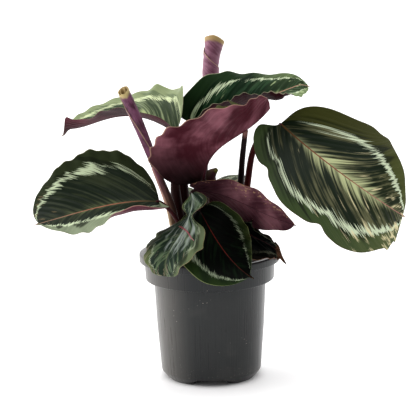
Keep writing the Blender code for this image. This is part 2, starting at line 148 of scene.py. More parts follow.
def smooth_route(route: tuple[Point, ...], radii: tuple[float, ...], steps: int) -> Array:
    """Run a Catmull-Rom curve through points and the radii there.

    Args:
        route: The points.
        radii: A radius for each point.
        steps: How many steps the curve takes from one point to the next.

    Returns:
        The rows of the curve: x, y, z and radius.
    """
    rows = np.column_stack([np.array(route, dtype=float), radii])
    ends = np.vstack([2 * rows[0] - rows[1], rows, 2 * rows[-1] - rows[-2]])
    t = (np.arange(steps) / steps)[:, None]
    curve = []
    for a, b, c, d in zip(ends[:-3], ends[1:-2], ends[2:-1], ends[3:]):
        bend = (2 * a - 5 * b + 4 * c - d) * t**2 + (3 * b - a - 3 * c + d) * t**3
        curve.append(0.5 * (2 * b + (c - a) * t + bend))
    return np.vstack([*curve, rows[-1:]])


def carried_frame(path: Array) -> tuple[Array, Array, Array]:
    """Carry a pair of side directions along a path without twisting them.

    Args:
        path: The points of the path.

    Returns:
        The unit directions ahead, to the side and up at each point.
    """
    ahead = unit(np.gradient(path, axis=0))
    side = np.empty_like(path)
    side[0] = unit(np.cross(ahead[0], (0.0, -1.0, 0.05)))
    for index in range(1, len(path)):
        carried = side[index - 1]
        side[index] = unit(carried - carried.dot(ahead[index]) * ahead[index])
    return ahead, side, np.cross(side, ahead)


def spokes(side: Array, up: Array, angle: Array) -> Array:
    """Point outwards from each point of a path, at angles from its side towards its up."""
    return side[:, None] * np.cos(angle)[..., None] + up[:, None] * np.sin(angle)[..., None]


def wobble(value: Array, seed: int) -> Array:
    """Average six sine waves of rising frequency with seeded phases: a smooth uneven line.

    Args:
        value: Places along the line.
        seed: What the phases and the exact frequencies are drawn from.

    Returns:
        How high the line is there, from -1 to 1.
    """
    waves = 6
    rng = np.random.default_rng(seed)
    phases = rng.uniform(0, FULL_TURN, waves)
    pitches = (1 + np.arange(waves)) * rng.uniform(0.8, 1.2, waves)
    return sum(np.sin(value * pitch + phase) for pitch, phase in zip(pitches, phases)) / waves


# Shader maths ----------------------------------------------------------------------------------


def math_node(operation: str, swapped: bool = False) -> Callable[[Socket, Value], Socket]:
    """Make a method of Socket that adds one Math node.

    Args:
        operation: What the node works out.
        swapped: Whether the other value comes first.

    Returns:
        The method.
    """

    def apply(self: Socket, other: Value) -> Socket:
        """Work it out for this value and another one."""
        return self.graph.math(operation, *((other, self) if swapped else (self, other)))

    return apply


@dataclass(frozen=True)
class Socket:
    """An output socket in a graph. Arithmetic on it adds the nodes that work the value out."""

    graph: Graph
    link: bpy.types.NodeSocket

    __add__ = __radd__ = math_node("ADD")
    __mul__ = __rmul__ = math_node("MULTIPLY")
    __sub__ = math_node("SUBTRACT")
    __rsub__ = math_node("SUBTRACT", swapped=True)
    __pow__ = math_node("POWER")


Value = Socket | float


class Graph:
    """The nodes of one material, or of the world."""

    def __init__(self, name: str, shader: str = "Principled BSDF") -> None:
        """Start a material with its Principled shader, or a world with its Background.

        Args:
            name: The name of the material or world.
            shader: The shader's name.
        """
        makers = {"Principled BSDF": bpy.data.materials, "Background": bpy.data.worlds}
        self.owner = makers[shader].new(name)
        self.owner.use_nodes = True
        self.tree = self.owner.node_tree
        self.shader = self.tree.nodes[shader]

    def node(self, kind: str, values: dict, settings: dict | None = None, output: int = 0) -> Socket:
        """Add a node.

        Args:
            kind: The node's type.
            values: What its input sockets hold or link to, by name or number.
            settings: The properties that are set before its sockets are filled.
            output: The number of the output that is wanted.

        Returns:
            That output.
        """
        made = self.tree.nodes.new(kind)
        for key, value in (settings or {}).items():
            setattr(made, key, value)
        for key, value in values.items():
            self.fill(made.inputs[key], value)
        return Socket(self, made.outputs[output])

    def fill(self, socket: bpy.types.NodeSocket, value: Value | Colour) -> None:
        """Link an input socket, or give it a plain number, colour or vector.

        Args:
            socket: The input socket.
            value: What it links to or holds.
        """
        if isinstance(value, Socket):
            self.tree.links.new(value.link, socket)
        elif isinstance(value, tuple) and socket.type == "RGBA":
            socket.default_value = (*value, 1.0)
        else:
            socket.default_value = value

    def set(self, name: str, value: Value | Colour) -> None:
        """Fill one socket of the shader."""
        self.fill(self.shader.inputs[name], value)

    def math(self, operation: str, first: Value, second: Value = 0.0) -> Socket:
        """Add a Math node."""
        return self.node("ShaderNodeMath", {0: first, 1: second}, {"operation": operation})

    def rise(self, value: Value, low: float, high: float) -> Socket:
        """Rise smoothly from 0 at low to 1 at high; with low above high it falls."""
        values = {"Value": value, "From Min": low, "From Max": high}
        return self.node("ShaderNodeMapRange", values, {"interpolation_type": "SMOOTHSTEP"})

    def vector(self, x: Value, y: Value, z: Value) -> Socket:
        """Join three values in a vector."""
        return self.node("ShaderNodeCombineXYZ", {0: x, 1: y, 2: z})

    def parts(self, vector: Socket) -> list[Socket]:
        """Take a vector apart in its three numbers."""
        first = self.node("ShaderNodeSeparateXYZ", {0: vector})
        return [Socket(self, out) for out in first.link.node.outputs]

    def split(self, name: str) -> list[Socket]:
        """Read the three numbers of a piece's attribute."""
        return self.parts(self.node("ShaderNodeAttribute", {}, {"attribute_name": name}, output=1))

    def place(self) -> Socket:
        """Read the place on the object, in metres."""
        return self.node("ShaderNodeTexCoord", {}, output=3)

    def stretched(self, scale: Point) -> Socket:
        """Scale the place on the object by a different amount along each axis."""
        return self.node("ShaderNodeMapping", {"Vector": self.place(), "Scale": scale})

    def noise(self, at: Socket, scale: float = 1.0, detail: float = 2.0, rough: float = 0.5) -> Socket:
        """Add a noise that lies between 0 and 1, mostly around 0.5."""
        values = {"Vector": at, "Scale": scale, "Detail": detail, "Roughness": rough}
        return self.node("ShaderNodeTexNoise", values)

    def specks(self, scale: float) -> Socket:
        """Add the distance to the nearest of points scattered over the object."""
        return self.node("ShaderNodeTexVoronoi", {"Vector": self.place(), "Scale": scale})

    def mix(self, share: Value, first: Value | Colour, second: Value | Colour) -> Socket:
        """Mix two colours: the first at share 0 and the second at share 1."""
        values = {0: share, 6: first, 7: second}
        return self.node("ShaderNodeMix", values, {"data_type": "RGBA"}, output=2)

    def bump(self, height: Value, distance: float, strength: float) -> None:
        """Roughen the surface by a height, in shares of a distance in metres."""
        values = {"Height": height, "Distance": distance, "Strength": strength}
        self.set("Normal", self.node("ShaderNodeBump", values))


# Finishes --------------------------------------------------------------------------------------


class Face(Enum):
    """The side of a leaf that a number in the face attribute stands for."""

    UNDER = 0.0
    UPPER = 1.0


class Finish:
    """A finish: it knows how to fill the sockets of a new material's shader."""

    def material(self, name: str) -> bpy.types.Material:
        """Build the material.

        Args:
            name: The material's name.

        Returns:
            The material.
        """
        graph = Graph(name)
        self.paint(graph)
        return graph.owner

    def paint(self, g: Graph) -> None:
        """Add the finish's nodes to a material's graph, and fill the shader's sockets.

        Args:
            g: The material's graph.
        """
        raise NotImplementedError


@dataclass(frozen=True)
class Marks:
    """Where on a leaf a shader is, and the streaks that it finds there.

    vein stays the same along each side vein and out is the way from the rib, in millimetres;
    across, share and right say the place as shares. fine, stripe and broad are streaks about one
    millimetre, a few millimetres and a centimetre wide.
    """

    vein: Socket
    out: Socket
    across: Socket
    share: Socket
    right: Socket
    fine: Socket
    stripe: Socket
    broad: Socket


@dataclass(frozen=True)
class LeafFinish(Finish):
    """A calathea leaf: striped green with a pale ring and a red rib above, maroon underneath.

    Places across the blade run from 0 at the rib to 1 at the margin, and places along it from 0
    at the stem to 1 at the tip. ring holds the place across of the pale ring at the base, in the
    middle and near the tip, and right_ring that of the right half where it differs. feather is
    how far pale strokes reach out from the rib. cream is how strongly cream flecks show, gathered
    past cream_from. frost is how strongly a painted sheen shows in silvery streaks, along the blade
    if painted_sheen_lengthwise is set. wash pales the blade towards its tip, and the blade is a brown
    husk past dried_from. Underneath, the base and the left half may be shaded, and flecks show.
    """

    seed: float
    inner_dark: Colour = (0.005, 0.011, 0.004)
    inner_light: Colour = (0.06, 0.064, 0.036)
    outer_dark: Colour = (0.01, 0.015, 0.003)
    left_outer: Colour = (0.042, 0.046, 0.008)
    right_outer: Colour = (0.045, 0.085, 0.03)
    outer_blend: float = 0.16
    ring: Along = (0.7, 0.66, 0.5)
    right_ring: Along | None = None
    ring_colour: Colour = (0.5, 0.58, 0.38)
    ring_width: float = 0.045
    ring_growth: float = 0.0
    ring_from: float = 0.0
    ring_strength: float = 1.0
    ring_jag: float = 0.42
    jag_rate: float = 1.5
    feather: float = 0.35
    feather_strength: float = 0.8
    feather_colour: Colour = (0.4, 0.46, 0.2)
    cream: float = 0.0
    cream_from: float = 0.6
    cream_colour: Colour = (0.72, 0.55, 0.28)
    painted_sheen: float = 0.0
    painted_sheen_lengthwise: bool = False
    painted_sheen_colour: Colour = (0.36, 0.44, 0.45)
    wash: float = 0.0
    wash_colour: Colour = (0.2, 0.24, 0.12)
    rib: tuple[Colour, Colour, Colour] = ((0.13, 0.06, 0.02), (0.38, 0.1, 0.07), (0.6, 0.3, 0.24))
    rib_width: float = 0.75
    edge: Colour = (0.06, 0.04, 0.012)
    under_dark: Colour = (0.045, 0.006, 0.016)
    under_light: Colour = (0.17, 0.04, 0.075)
    under_edge: Colour = (0.5, 0.27, 0.22)
    under_shaded: float = 0.0
    left_shaded: float = 0.0
    flecks: float = 0.0
    husk: Colour = (0.3, 0.17, 0.08)
    dried_from: float = 2.0
    gloss: float = 0.06

    husk_dark = (0.03, 0.012, 0.006)
    base_shade = (0.004, 0.001, 0.001)
    left_shade = (0.012, 0.002, 0.004)
    fleck_colour = (0.34, 0.2, 0.11)
    roughness = 0.43
    edge_start = 0.98
    under_edge_start = 0.97
    fine_rate = 0.9
    stripe_rate = 0.3
    broad_rate = 0.09
    blot_rate = 0.07
    cream_rate = 0.12
    jag_length = 2.7
    ring_soft = 0.012
    drying = 0.08

    def paint(self, g: Graph) -> None:
        """Read the place on the leaf, and paint its two sides, its rib and its dried tip.

        Args:
            g: The material's graph.
        """
        vein, aside, _ = g.split("leaf_mm")
        spread, share, face = g.split("leaf_share")
        out, across = g.math("ABSOLUTE", aside), g.math("ABSOLUTE", spread)
        right = g.rise(spread, -0.004, 0.004)
        lane = right * 31.0 + self.seed
        fine = g.noise(g.vector(vein * self.fine_rate, across * 2.0, lane), detail=3, rough=0.6)
        stripe_place = g.vector(vein * self.stripe_rate, across * 0.9, lane + 7.0)
        stripe = g.noise(stripe_place, detail=2, rough=0.4)
        broad = g.noise(g.vector(vein * self.broad_rate, across * 0.8, lane + 13.0), detail=1)
        marks = Marks(vein, out, across, share, right, fine, stripe, broad)

        rib = self.rib_mask(g, marks)
        upper = g.mix(rib, self.upper(g, marks), self.rib_colour(g, share))
        upper = g.mix(g.rise(across, self.edge_start, 1.0) * 0.8, upper, self.edge)
        under = g.mix(rib * 0.6, self.under(g, marks), self.under_dark)
        rim = g.rise(across, self.under_edge_start, 1.0) * g.rise(share, 0.08, 0.2) * 0.8
        colour = g.mix(face, g.mix(rim, under, self.under_edge), upper)
        dried = g.rise(share + (stripe - 0.5) * 0.2, self.dried_from, self.dried_from + self.drying)
        husk = g.mix(g.rise(fine, 0.35, 0.65), self.husk_dark, self.husk)

        g.set("Base Color", g.mix(dried, colour, husk))
        g.set("Roughness", fine * 0.2 - face * 0.15 + self.roughness)
        g.set("Specular IOR Level", self.gloss)
        g.bump(fine * 0.5 + stripe * 0.6 + rib * 0.8, 0.0005, 0.7)

    def upper(self, g: Graph, m: Marks) -> Socket:
        """Colour the upper side: stripes inside the pale ring, green outside, then its marks.

        Args:
            g: The material's graph.
            m: Where on the leaf the shader is, and its streaks.

        Returns:
            The colour.
        """
        lane = m.right * 17.0 + self.seed
        jag_place = g.vector(m.vein * self.jag_rate, m.across * self.jag_rate * self.jag_length, lane)
        jag = g.noise(jag_place, detail=2, rough=0.55)
        spiked = m.across + (jag - 0.5) * self.ring_jag + (m.stripe - 0.5) * 0.16
        place = self.ring_place(m.share, self.ring)
        if self.right_ring:
            place = place + m.right * (self.ring_place(m.share, self.right_ring) - place)
        beyond = g.rise(spiked - place, -self.ring_soft, self.ring_soft)
        light = g.mix(m.right, self.left_outer, self.right_outer)
        shade = g.rise(m.across + (m.broad - 0.5) * 0.9 - place, 0.02, self.outer_blend)
        outer = g.mix(shade * 0.8 + m.fine * 0.25, self.outer_dark, light)
        colour = g.mix(beyond, self.stripes(g, m), outer)

        washed = g.rise(m.share + (m.broad - 0.5) * 0.6, 0.55, 1.0) * (beyond * 0.8 + 0.2) * self.wash
        colour = g.mix(washed, colour, self.wash_colour)
        width = (m.broad - 0.5) * 0.13 + (jag - 0.5) * 0.08 + self.ring_width
        width = width + (m.share - 0.5) * self.ring_growth
        ring = g.rise(g.math("ABSOLUTE", spiked - place) - width, 0.02, -0.01) * self.ring_strength
        ring = ring * g.rise(m.share + (m.fine - 0.5) * 0.1, self.ring_from, self.ring_from + 0.05)
        colour = g.mix(ring, colour, self.ring_colour)

        patch = g.noise(g.vector(m.vein * self.cream_rate, m.across * 3.0, lane + 3.0), detail=2)
        gathered = g.rise(m.share, self.cream_from - 0.45, self.cream_from + 0.1) * 0.18
        gathered = gathered - beyond * (1.0 - m.right) * 0.2
        gathered = gathered + beyond * m.right * g.rise(m.share, 0.62, 0.85) * 0.07
        cream = g.rise(patch + gathered + (m.fine - 0.5) * 0.5, 0.74, 0.84) * self.cream
        colour = g.mix(cream, colour, self.cream_colour)
        # painted sheen, in silvery streaks
        return g.mix(self.painted_sheen_mask(g, m), colour, self.painted_sheen_colour) if self.painted_sheen else colour

    def stripes(self, g: Graph, m: Marks) -> Socket:
        """Stripe the middle of the leaf along its veins, and feather it with pale strokes.

        Args:
            g: The material's graph.
            m: Where on the leaf the shader is, and its streaks.

        Returns:
            The colour.
        """
        lane = m.right * 5.0 + self.seed
        blot = g.noise(g.vector(m.vein * self.blot_rate, m.across * 3.0, lane), detail=3)
        inside = g.rise(m.stripe * 0.6 + m.broad * 0.3 + blot * 0.6 + m.fine * 0.25, 0.84, 1.02)
        inner = g.mix(inside, self.inner_dark, self.inner_light)
        window = g.rise(m.share, 0.04, 0.4) * g.rise(m.share, 0.95, 0.55)
        spray = (m.stripe - 0.42) * 2.6 + (m.fine - 0.5) * 0.8 + (m.broad - 0.5) * 2.6
        reach = (spray + 0.3) * window * self.feather
        feather = g.rise(reach - m.across, -0.09, 0.2) * self.feather_strength
        inner = g.mix(feather, inner, g.mix(m.fine, self.inner_light, self.feather_colour))
        return g.mix(feather**2.0, inner, self.feather_colour)

    def ring_place(self, share: Socket, ring: Along) -> Socket:
        """Blend the ring's place across the blade by a parabola.

        Args:
            share: The place along the blade.
            ring: Where the ring lies at the base, in the middle and at the tip.

        Returns:
            Where the ring lies.
        """
        base, middle, tip = ring
        bend, slope = 2 * base - 4 * middle + 2 * tip, 4 * middle - 3 * base - tip
        return share * share * bend + share * slope + base

    def painted_sheen_mask(self, g: Graph, m: Marks) -> Socket:
        """Streak the leaf with a painted sheen in silver, along its length or along its side veins.

        Args:
            g: The material's graph.
            m: Where on the leaf the shader is, and its streaks.

        Returns:
            How strongly the painted sheen shows.
        """
        if self.painted_sheen_lengthwise:
            lane = g.vector(m.across * (m.right - 0.5) * 11.0, m.share * 2.0, self.seed)
            streak = g.noise(lane, detail=4, rough=0.6)
            middle = g.rise(m.across, 0.75, 0.2) * g.rise(m.share, 0.9, 0.55) * 0.2
            return g.rise(streak + middle - m.right * 0.08, 0.59, 0.82) * self.painted_sheen
        return g.rise(m.fine * 0.5 + m.stripe * 0.6 - m.across * 0.15, 0.48, 0.7) * self.painted_sheen

    def under(self, g: Graph, m: Marks) -> Socket:
        """Colour the underside: maroon with fainter, greyer streaks along the veins.

        Args:
            g: The material's graph.
            m: Where on the leaf the shader is, and its streaks.

        Returns:
            The colour.
        """
        cloud = g.noise(g.stretched((34.0, 34.0, 14.0)), detail=4)
        light = m.stripe * 0.16 + m.fine * 0.12 + cloud * 1.25
        skin = g.mix(g.rise(light, 0.6, 1.0), self.under_dark, self.under_light)
        shade = g.rise(m.share, 0.42, 0.02) * g.rise(cloud, 0.2, 0.5) * self.under_shaded
        skin = g.mix(shade, skin, self.base_shade)
        skin = g.mix((1.0 - m.right) * self.left_shaded, skin, self.left_shade)
        grain = g.noise(g.place(), scale=420.0, detail=2) * 0.7 + cloud * 0.3
        near = m.right * m.across * 0.14 + m.share * 0.06
        return g.mix(g.rise(grain + near, 0.69, 0.77) * self.flecks, skin, self.fleck_colour)

    def rib_mask(self, g: Graph, m: Marks) -> Socket:
        """Mark the midrib, which thins from the stem to the tip."""
        return g.rise(m.out - (1.2 - m.share) * self.rib_width, 0.3, -0.15)

    def rib_colour(self, g: Graph, share: Socket) -> Socket:
        """Colour the midrib from the base by the middle to the tip.

        Args:
            g: The material's graph.
            share: The place along the blade.

        Returns:
            The colour.
        """
        base, middle, tip = self.rib
        lower = g.mix(g.rise(share, 0.0, 0.45), base, middle)
        return g.mix(g.rise(share, 0.45, 0.95), lower, tip)


@dataclass(frozen=True)
class StemFinish(Finish):
    """A smooth stem that changes colour from its foot to its top, with streaks along it.

    tip is the place past which the last colour takes over. flank is the colour of a painted light
    on its left side, and painted_flank_strength sets how strongly it shows, and a painted shade on its
    right.
    """

    foot: Colour
    middle: Colour
    top: Colour
    # colour of the dark streaks, and of the painted shade on the right side
    shade: Colour = (0.02, 0.005, 0.005)
    tip: float = 0.55
    lit_flank: Colour = (0.5, 0.36, 0.25)
    painted_flank_strength: float = 0.0

    lit_flank_foot = (0.46, 0.33, 0.19)
    roughness = 0.28
    gloss = 0.08

    def paint(self, g: Graph) -> None:
        """Blend the colours along the stem, darken its streaks, and paint shade on its right side and
        light on its left.

        Args:
            g: The material's graph.
        """
        share, right, front = g.split("stem")
        lower = g.mix(g.rise(share, 0.1, min(0.55, self.tip)), self.foot, self.middle)
        colour = g.mix(g.rise(share, self.tip, min(self.tip + 0.4, 0.98)), lower, self.top)
        streak = g.noise(g.vector(right * 3.0, front * 3.0, share * 5.0), detail=4)
        blotch = g.noise(g.vector(right * 0.8, front * 0.8, share * 8.0 + 9.0), detail=2)
        dark = g.rise(streak * 0.6 + blotch * 0.5, 0.48, 0.74) * 0.75
        colour = g.mix(dark, colour, self.shade)
        # painted light on the left side, and painted shade on the right
        lit_flank = g.rise(right + (streak - 0.5) * 0.6, -0.25, -0.85) * self.painted_flank_strength
        colour = g.mix(g.rise(right, -0.1, 0.8) * self.painted_flank_strength, colour, self.shade)
        lit = g.mix(g.rise(share, 0.45, 0.8), self.lit_flank_foot, self.lit_flank)
        g.set("Base Color", g.mix(lit_flank, colour, lit))
        g.set("Roughness", streak * 0.2 + self.roughness)
        g.set("Specular IOR Level", self.gloss)
        g.bump(streak, 0.0003, 0.5)


@dataclass(frozen=True)
class ScrollFinish(Finish):
    """A young leaf rolled up: mauve outside with fine veins, and a paler dry rim.

    rim_from is the place past which the rim is dry, and seam is the colour of the free edge.
    """

    light: Colour
    dark: Colour
    rim: Colour = (0.42, 0.27, 0.11)
    rim_from: float = 0.93

    inside = (0.36, 0.25, 0.1)
    painted_inside_shade = (0.1, 0.05, 0.03)
    seam = (0.45, 0.28, 0.2)
    seam_width = 0.012

    def paint(self, g: Graph) -> None:
        """Vein the outside along the roll, dry its rim, and paint shade on the inside, darker downwards.

        Args:
            g: The material's graph.
        """
        share, wound, face = g.split("scroll")
        veins = g.noise(g.vector(wound * 60.0 + share * 8.0, share * 3.0, 1.0), detail=3)
        cloud = g.noise(g.vector(wound * 14.0, share * 7.0, 4.0), detail=3)
        skin = g.mix(g.rise(veins * 0.4 + cloud * 0.7, 0.42, 0.66), self.dark, self.light)
        skin = g.mix(g.rise(wound, self.seam_width, self.seam_width / 3), skin, self.seam)
        lip = g.rise(share + (cloud - 0.5) * 0.1, self.rim_from - 0.02, self.rim_from + 0.03)
        skin = g.mix(lip, skin, g.mix(veins, self.rim, self.inside))
        # painted shade: the inside of the roll darkens downwards
        inner = g.mix(g.rise(share, 0.6, 1.0), self.painted_inside_shade, self.inside)
        g.set("Base Color", g.mix(face, inner, skin))
        g.set("Roughness", veins * 0.25 + 0.32)
        g.set("Specular IOR Level", 0.25)
        g.bump(veins * 0.3 + cloud, 0.0006, 0.5)


@dataclass(frozen=True)
class PlasticFinish(Finish):
    """Dark grey moulded plastic: faint draw marks up the wall, a dusty haze and specks of soil, with
    painted light that pales its left side and the wall below the collar.
    """

    colour: Colour = (0.005, 0.0065, 0.0075)
    pale: Colour = (0.008, 0.0105, 0.0112)
    dust_and_light_colour: Colour = (0.2, 0.185, 0.165)
    crumb: Colour = (0.42, 0.38, 0.33)
    painted_left_light: float = 0.37

    def paint(self, g: Graph) -> None:
        """Mark the wall upwards, make it dusty, sprinkle crumbs on it, and paint light on its left side
        and below the collar.

        Args:
            g: The material's graph.
        """
        turn, height, outside = g.split("wall")
        marks = g.noise(g.vector(turn * 30.0, outside * 30.0, height * 0.012), detail=2)
        cloud = g.noise(g.place(), scale=30.0, detail=4)
        colour = g.mix(g.rise(marks * 0.5 + cloud * 0.5, 0.4, 0.65), self.colour, self.pale)
        few = g.rise(g.noise(g.place(), scale=55.0, detail=2), 0.62, 0.72)
        low = g.rise(height, 22.0, 3.0)
        crumbs = g.rise(g.specks(420.0), 0.16, 0.08) * (few + low * 0.35)
        # dusty haze near the foot, plus painted light: paler below the collar and on the left side
        dust_and_painted_light = g.rise(cloud + low * 0.16, 0.6, 0.85) * 0.1 + g.rise(height, 90.0, 70.0) * 0.03
        dust_and_painted_light = dust_and_painted_light + g.rise(outside + cloud * 0.2, -0.15, -0.9) * self.painted_left_light
        g.set("Base Color", g.mix(crumbs, g.mix(dust_and_painted_light, colour, self.dust_and_light_colour), self.crumb))
        g.set("Roughness", marks * 0.3 + cloud * 0.14 + 0.1)
        g.set("Specular IOR Level", 0.27)
        g.set("Sheen Weight", 0.2)
        g.set("Sheen Roughness", 0.25)
        g.bump(marks * 0.9 + cloud * 0.3 + crumbs * 0.8, 0.0003, 0.5)


@dataclass(frozen=True)
class EarthFinish(Finish):
    """Damp peat: near black crumbs with brown fibre and a few pale grains."""

    dark: Colour = (0.008, 0.005, 0.004)
    brown: Colour = (0.06, 0.034, 0.02)
    pale: Colour = (0.3, 0.25, 0.2)
    grain_size: float = 0.06

    def paint(self, g: Graph) -> None:
        """Mix crumbs and clods, and scatter grains where a coarse noise is high.

        Args:
            g: The material's graph.
        """
        crumbs = g.noise(g.place(), scale=260.0, detail=5, rough=0.65)
        clods = g.noise(g.place(), scale=60.0, detail=3)
        colour = g.mix(g.rise(crumbs * 0.6 + clods * 0.5, 0.45, 0.72), self.dark, self.brown)
        grit = g.rise(g.specks(260.0), self.grain_size + 0.1, self.grain_size)
        few = g.rise(g.noise(g.place(), scale=140.0), 0.6, 0.7)
        g.set("Base Color", g.mix(grit * few, colour, self.pale))
        g.set("Roughness", 0.85 - clods * 0.3)
        g.bump(crumbs, 0.0015, 0.9)


@dataclass(frozen=True)
class BarkFinish(Finish):
    """Rootstock and old sheaths: brown, papery and streaked upwards."""

    dark: Colour = (0.03, 0.014, 0.008)
    light: Colour = (0.24, 0.13, 0.07)

    def paint(self, g: Graph) -> None:
        """Streak the bark with fibres, under a cloud of lighter patches.

        Args:
            g: The material's graph.
        """
        fibres = g.noise(g.stretched((900.0, 900.0, 90.0)), detail=4)
        cloud = g.noise(g.place(), scale=90.0, detail=3)
        g.set("Base Color", g.mix(g.rise(fibres * 0.5 + cloud * 0.5, 0.38, 0.66), self.dark, self.light))
        g.set("Roughness", 0.9 - fibres * 0.2)
        g.bump(fibres, 0.0008, 0.8)


@dataclass(frozen=True)
class FloorFinish(Finish):
    """A plain white table that glows softly outside the pot's foot, as painted light, and stays unlit
    under the pot, as a painted shadow.
    """

    dark: Colour = (0.9, 0.9, 0.9)
    light: Colour = (0.93, 0.93, 0.93)
    glow: float = 0.32
    glow_from: tuple[float, float] = (0.036, 0.05)

    def paint(self, g: Graph) -> None:
        """Vary the white a little, and let the glow rise with the distance from the pot.

        Args:
            g: The material's graph.
        """
        cloud = g.noise(g.place(), scale=3.0, detail=2)
        g.set("Base Color", g.mix(cloud, self.dark, self.light))
        g.set("Roughness", cloud * 0.1 + 0.6)
        x, y, _ = g.parts(g.place())
        # painted light: the glow rises from nothing under the pot, leaving a painted shadow there
        lit = g.rise((x * x + y * y) ** 0.5, *self.glow_from)
        g.set("Emission Color", g.mix(lit, (0.0, 0.0, 0.0), (1.0, 1.0, 1.0)))
        g.set("Emission Strength", self.glow)


# Meshes ----------------------------------------------------------------------------------------


@dataclass
class Surface:
    """A mesh on its way to becoming a piece: corners in millimetres, faces and attributes."""

    corners: Array
    faces: list
    facts: dict[str, Array] = field(default_factory=dict)

    def item(self, name: str) -> bpy.types.Object:
        """Make an object of the surface, with its attributes.

        Args:
            name: The object's name.

        Returns:
            The object, in the scene.
        """
        mesh = bpy.data.meshes.new(name)
        mesh.from_pydata(self.corners * MM, [], self.faces)
        for key, values in self.facts.items():
            store(mesh, key, values)
        return linked(name, mesh)

    def piece(self, name: str, material: bpy.types.Material, slot: str, nodes: tuple[str, ...]) -> None:
        """Make the piece, dress it, and hide the CAD nodes that it stands for.

        Args:
            name: The piece's name.
            material: Its material.
            slot: Not used.
            nodes: The CAD nodes that it replaces.
        """
        item = self.item(name)
        item.data.shade_smooth()
        settle(item, material, nodes)


def linked(name: str, data: bpy.types.ID) -> bpy.types.Object:
    """Make an object of a mesh, a light or a camera, in the scene.

    Args:
        name: The object's name.
        data: The mesh, light or camera.

    Returns:
        The object.
    """
    item = bpy.data.objects.new(name, data)
    bpy.context.scene.collection.objects.link(item)
    return item


def store(mesh: bpy.types.Mesh, name: str, values: Array) -> None:
    """Keep three numbers for each corner of a mesh under an attribute's name."""
    stored = mesh.attributes.new(name, "FLOAT_VECTOR", "POINT")
    stored.data.foreach_set("vector", values.astype(np.float32).ravel())


def settle(
    item: bpy.types.Object, material: bpy.types.Material, nodes: tuple[str, ...]
) -> None:
    """Dress a piece, let it ride on the plant's one body, and hide the CAD nodes that it stands for.

    Args:
        item: The piece.
        material: Its only material.
        nodes: The CAD nodes that it replaces.
    """
    item.data.materials.clear()
    item.data.materials.append(material)
    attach(item, "root")
    if nodes:
        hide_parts(*nodes)
    LOG.info("%s: %d faces", item.name, len(item.data.polygons))


def neighbours(columns: int, clockwise: bool) -> tuple[Array, Array]:
    """Number the two ends of each edge of a ring of corners.

    Args:
        columns: How many corners the ring has.
        clockwise: Whether each edge runs against the order of the corners.

    Returns:
        The corner that each edge starts from, and the one that it ends in.
    """
    start = np.arange(columns)
    after = np.roll(start, -1)
    return (after, start) if clockwise else (start, after)


def ring_faces(rows: int, columns: int, clockwise: bool = False) -> Array:
    """List the quads between closed rings of corners, which are numbered ring by ring.

    Args:
        rows: How many rings there are.
        columns: How many corners each ring has.
        clockwise: Whether the quads' corners run against the order of the ring's corners.

    Returns:
        Four corner numbers for each quad.
    """
    start, after = neighbours(columns, clockwise)
    row = np.arange(rows - 1)[:, None] * columns
    quads = np.stack([row + start, row + after, row + columns + after, row + columns + start], -1)
    return quads.reshape(-1, 4)


def capped(rings: Array, poles: Array, clockwise: bool = True) -> Surface:
    """Close a stack of rings with a fan of triangles at each end.

    Args:
        rings: The corners, by ring and then round the ring.
        poles: The middle of the first fan and of the last one.
        clockwise: Whether the faces' corners run against the order of the ring's corners.

    Returns:
        The closed surface.
    """
    rows, columns = rings.shape[:2]
    count = rows * columns
    start, after = neighbours(columns, clockwise)
    first = np.stack([np.full(columns, count), after, start], -1)
    last = np.stack([np.full(columns, count + 1), start, after], -1)
    last[:, 1:] += count - columns
    faces = ring_faces(rows, columns, clockwise).tolist() + first.tolist() + last.tolist()
    return Surface(np.vstack([rings.reshape(-1, 3), poles]), faces)


def tube(path: Array, radii: Array, section: Array) -> Surface:
    """Make a closed tube along a path, with a rounded pole at each end.

    Args:
        path: The points of the path.
        radii: The tube's radius at each point.
        section: How far out the corners round the tube lie, as shares of the radius.

    Returns:
        The surface, with an attribute "stem": the share of the length, and how far round to the
        right and to the front.
    """
    ahead, side, up = carried_frame(path)
    angle = circle(len(section))
    reach = radii[:, None] * section
    rings = path[:, None] + spokes(side, up, angle) * reach[..., None]
    bulge = ahead * (radii * POLE_SHARE)[:, None]
    poles = np.stack([path[0] - bulge[0], path[-1] + bulge[-1]])
    lengths = arc_lengths(path)
    facts = triples((lengths / lengths[-1])[:, None], np.cos(angle), np.sin(angle)).reshape(-1, 3)
    surface = capped(rings, poles, clockwise=False)
    surface.facts["stem"] = np.vstack([facts, [(0.0, 0.0, 0.0), (1.0, 0.0, 0.0)]])
    return surface


def double_skin(skins: tuple[Array, Array], facts: dict[str, tuple[Array, Array]]) -> Surface:
    """Close two skins, which lie corner over corner, in one thin sheet.

    Args:
        skins: The corners of the upper skin and of the lower one, by row and column.
        facts: Attributes by name, for the upper skin and for the lower one.

    Returns:
        The sheet.
    """

    def round_sheet(upper: Array, lower: Array) -> Array:
        """Run on from each row of the upper skin into that of the lower one, backwards."""
        return np.concatenate([upper, lower[:, ::-1]], axis=1)

    rings = round_sheet(*skins)
    rows, columns = rings.shape[:2]
    left = np.arange(columns // 2 - 1)
    under = columns - 1 - left
    first = np.stack([left, under, under - 1, left + 1], -1)
    last = np.stack([left, left + 1, under - 1, under], -1) + (rows - 1) * columns
    faces = np.vstack([ring_faces(rows, columns), first, last]).tolist()
    round_facts = {name: round_sheet(*pair).reshape(-1, 3) for name, pair in facts.items()}
    return Surface(rings.reshape(-1, 3), faces, round_facts)


def joined(parts: list[Surface]) -> Surface:
    """Join surfaces in one, without their attributes.

    Args:
        parts: The surfaces.

    Returns:
        One surface with all their corners and faces.
    """
    faces = []
    offset = 0
    for part in parts:
        faces += [[offset + corner for corner in face] for face in part.faces]
        offset += len(part.corners)
    return Surface(np.vstack([part.corners for part in parts]), faces)


# Leaves ----------------------------------------------------------------------------------------


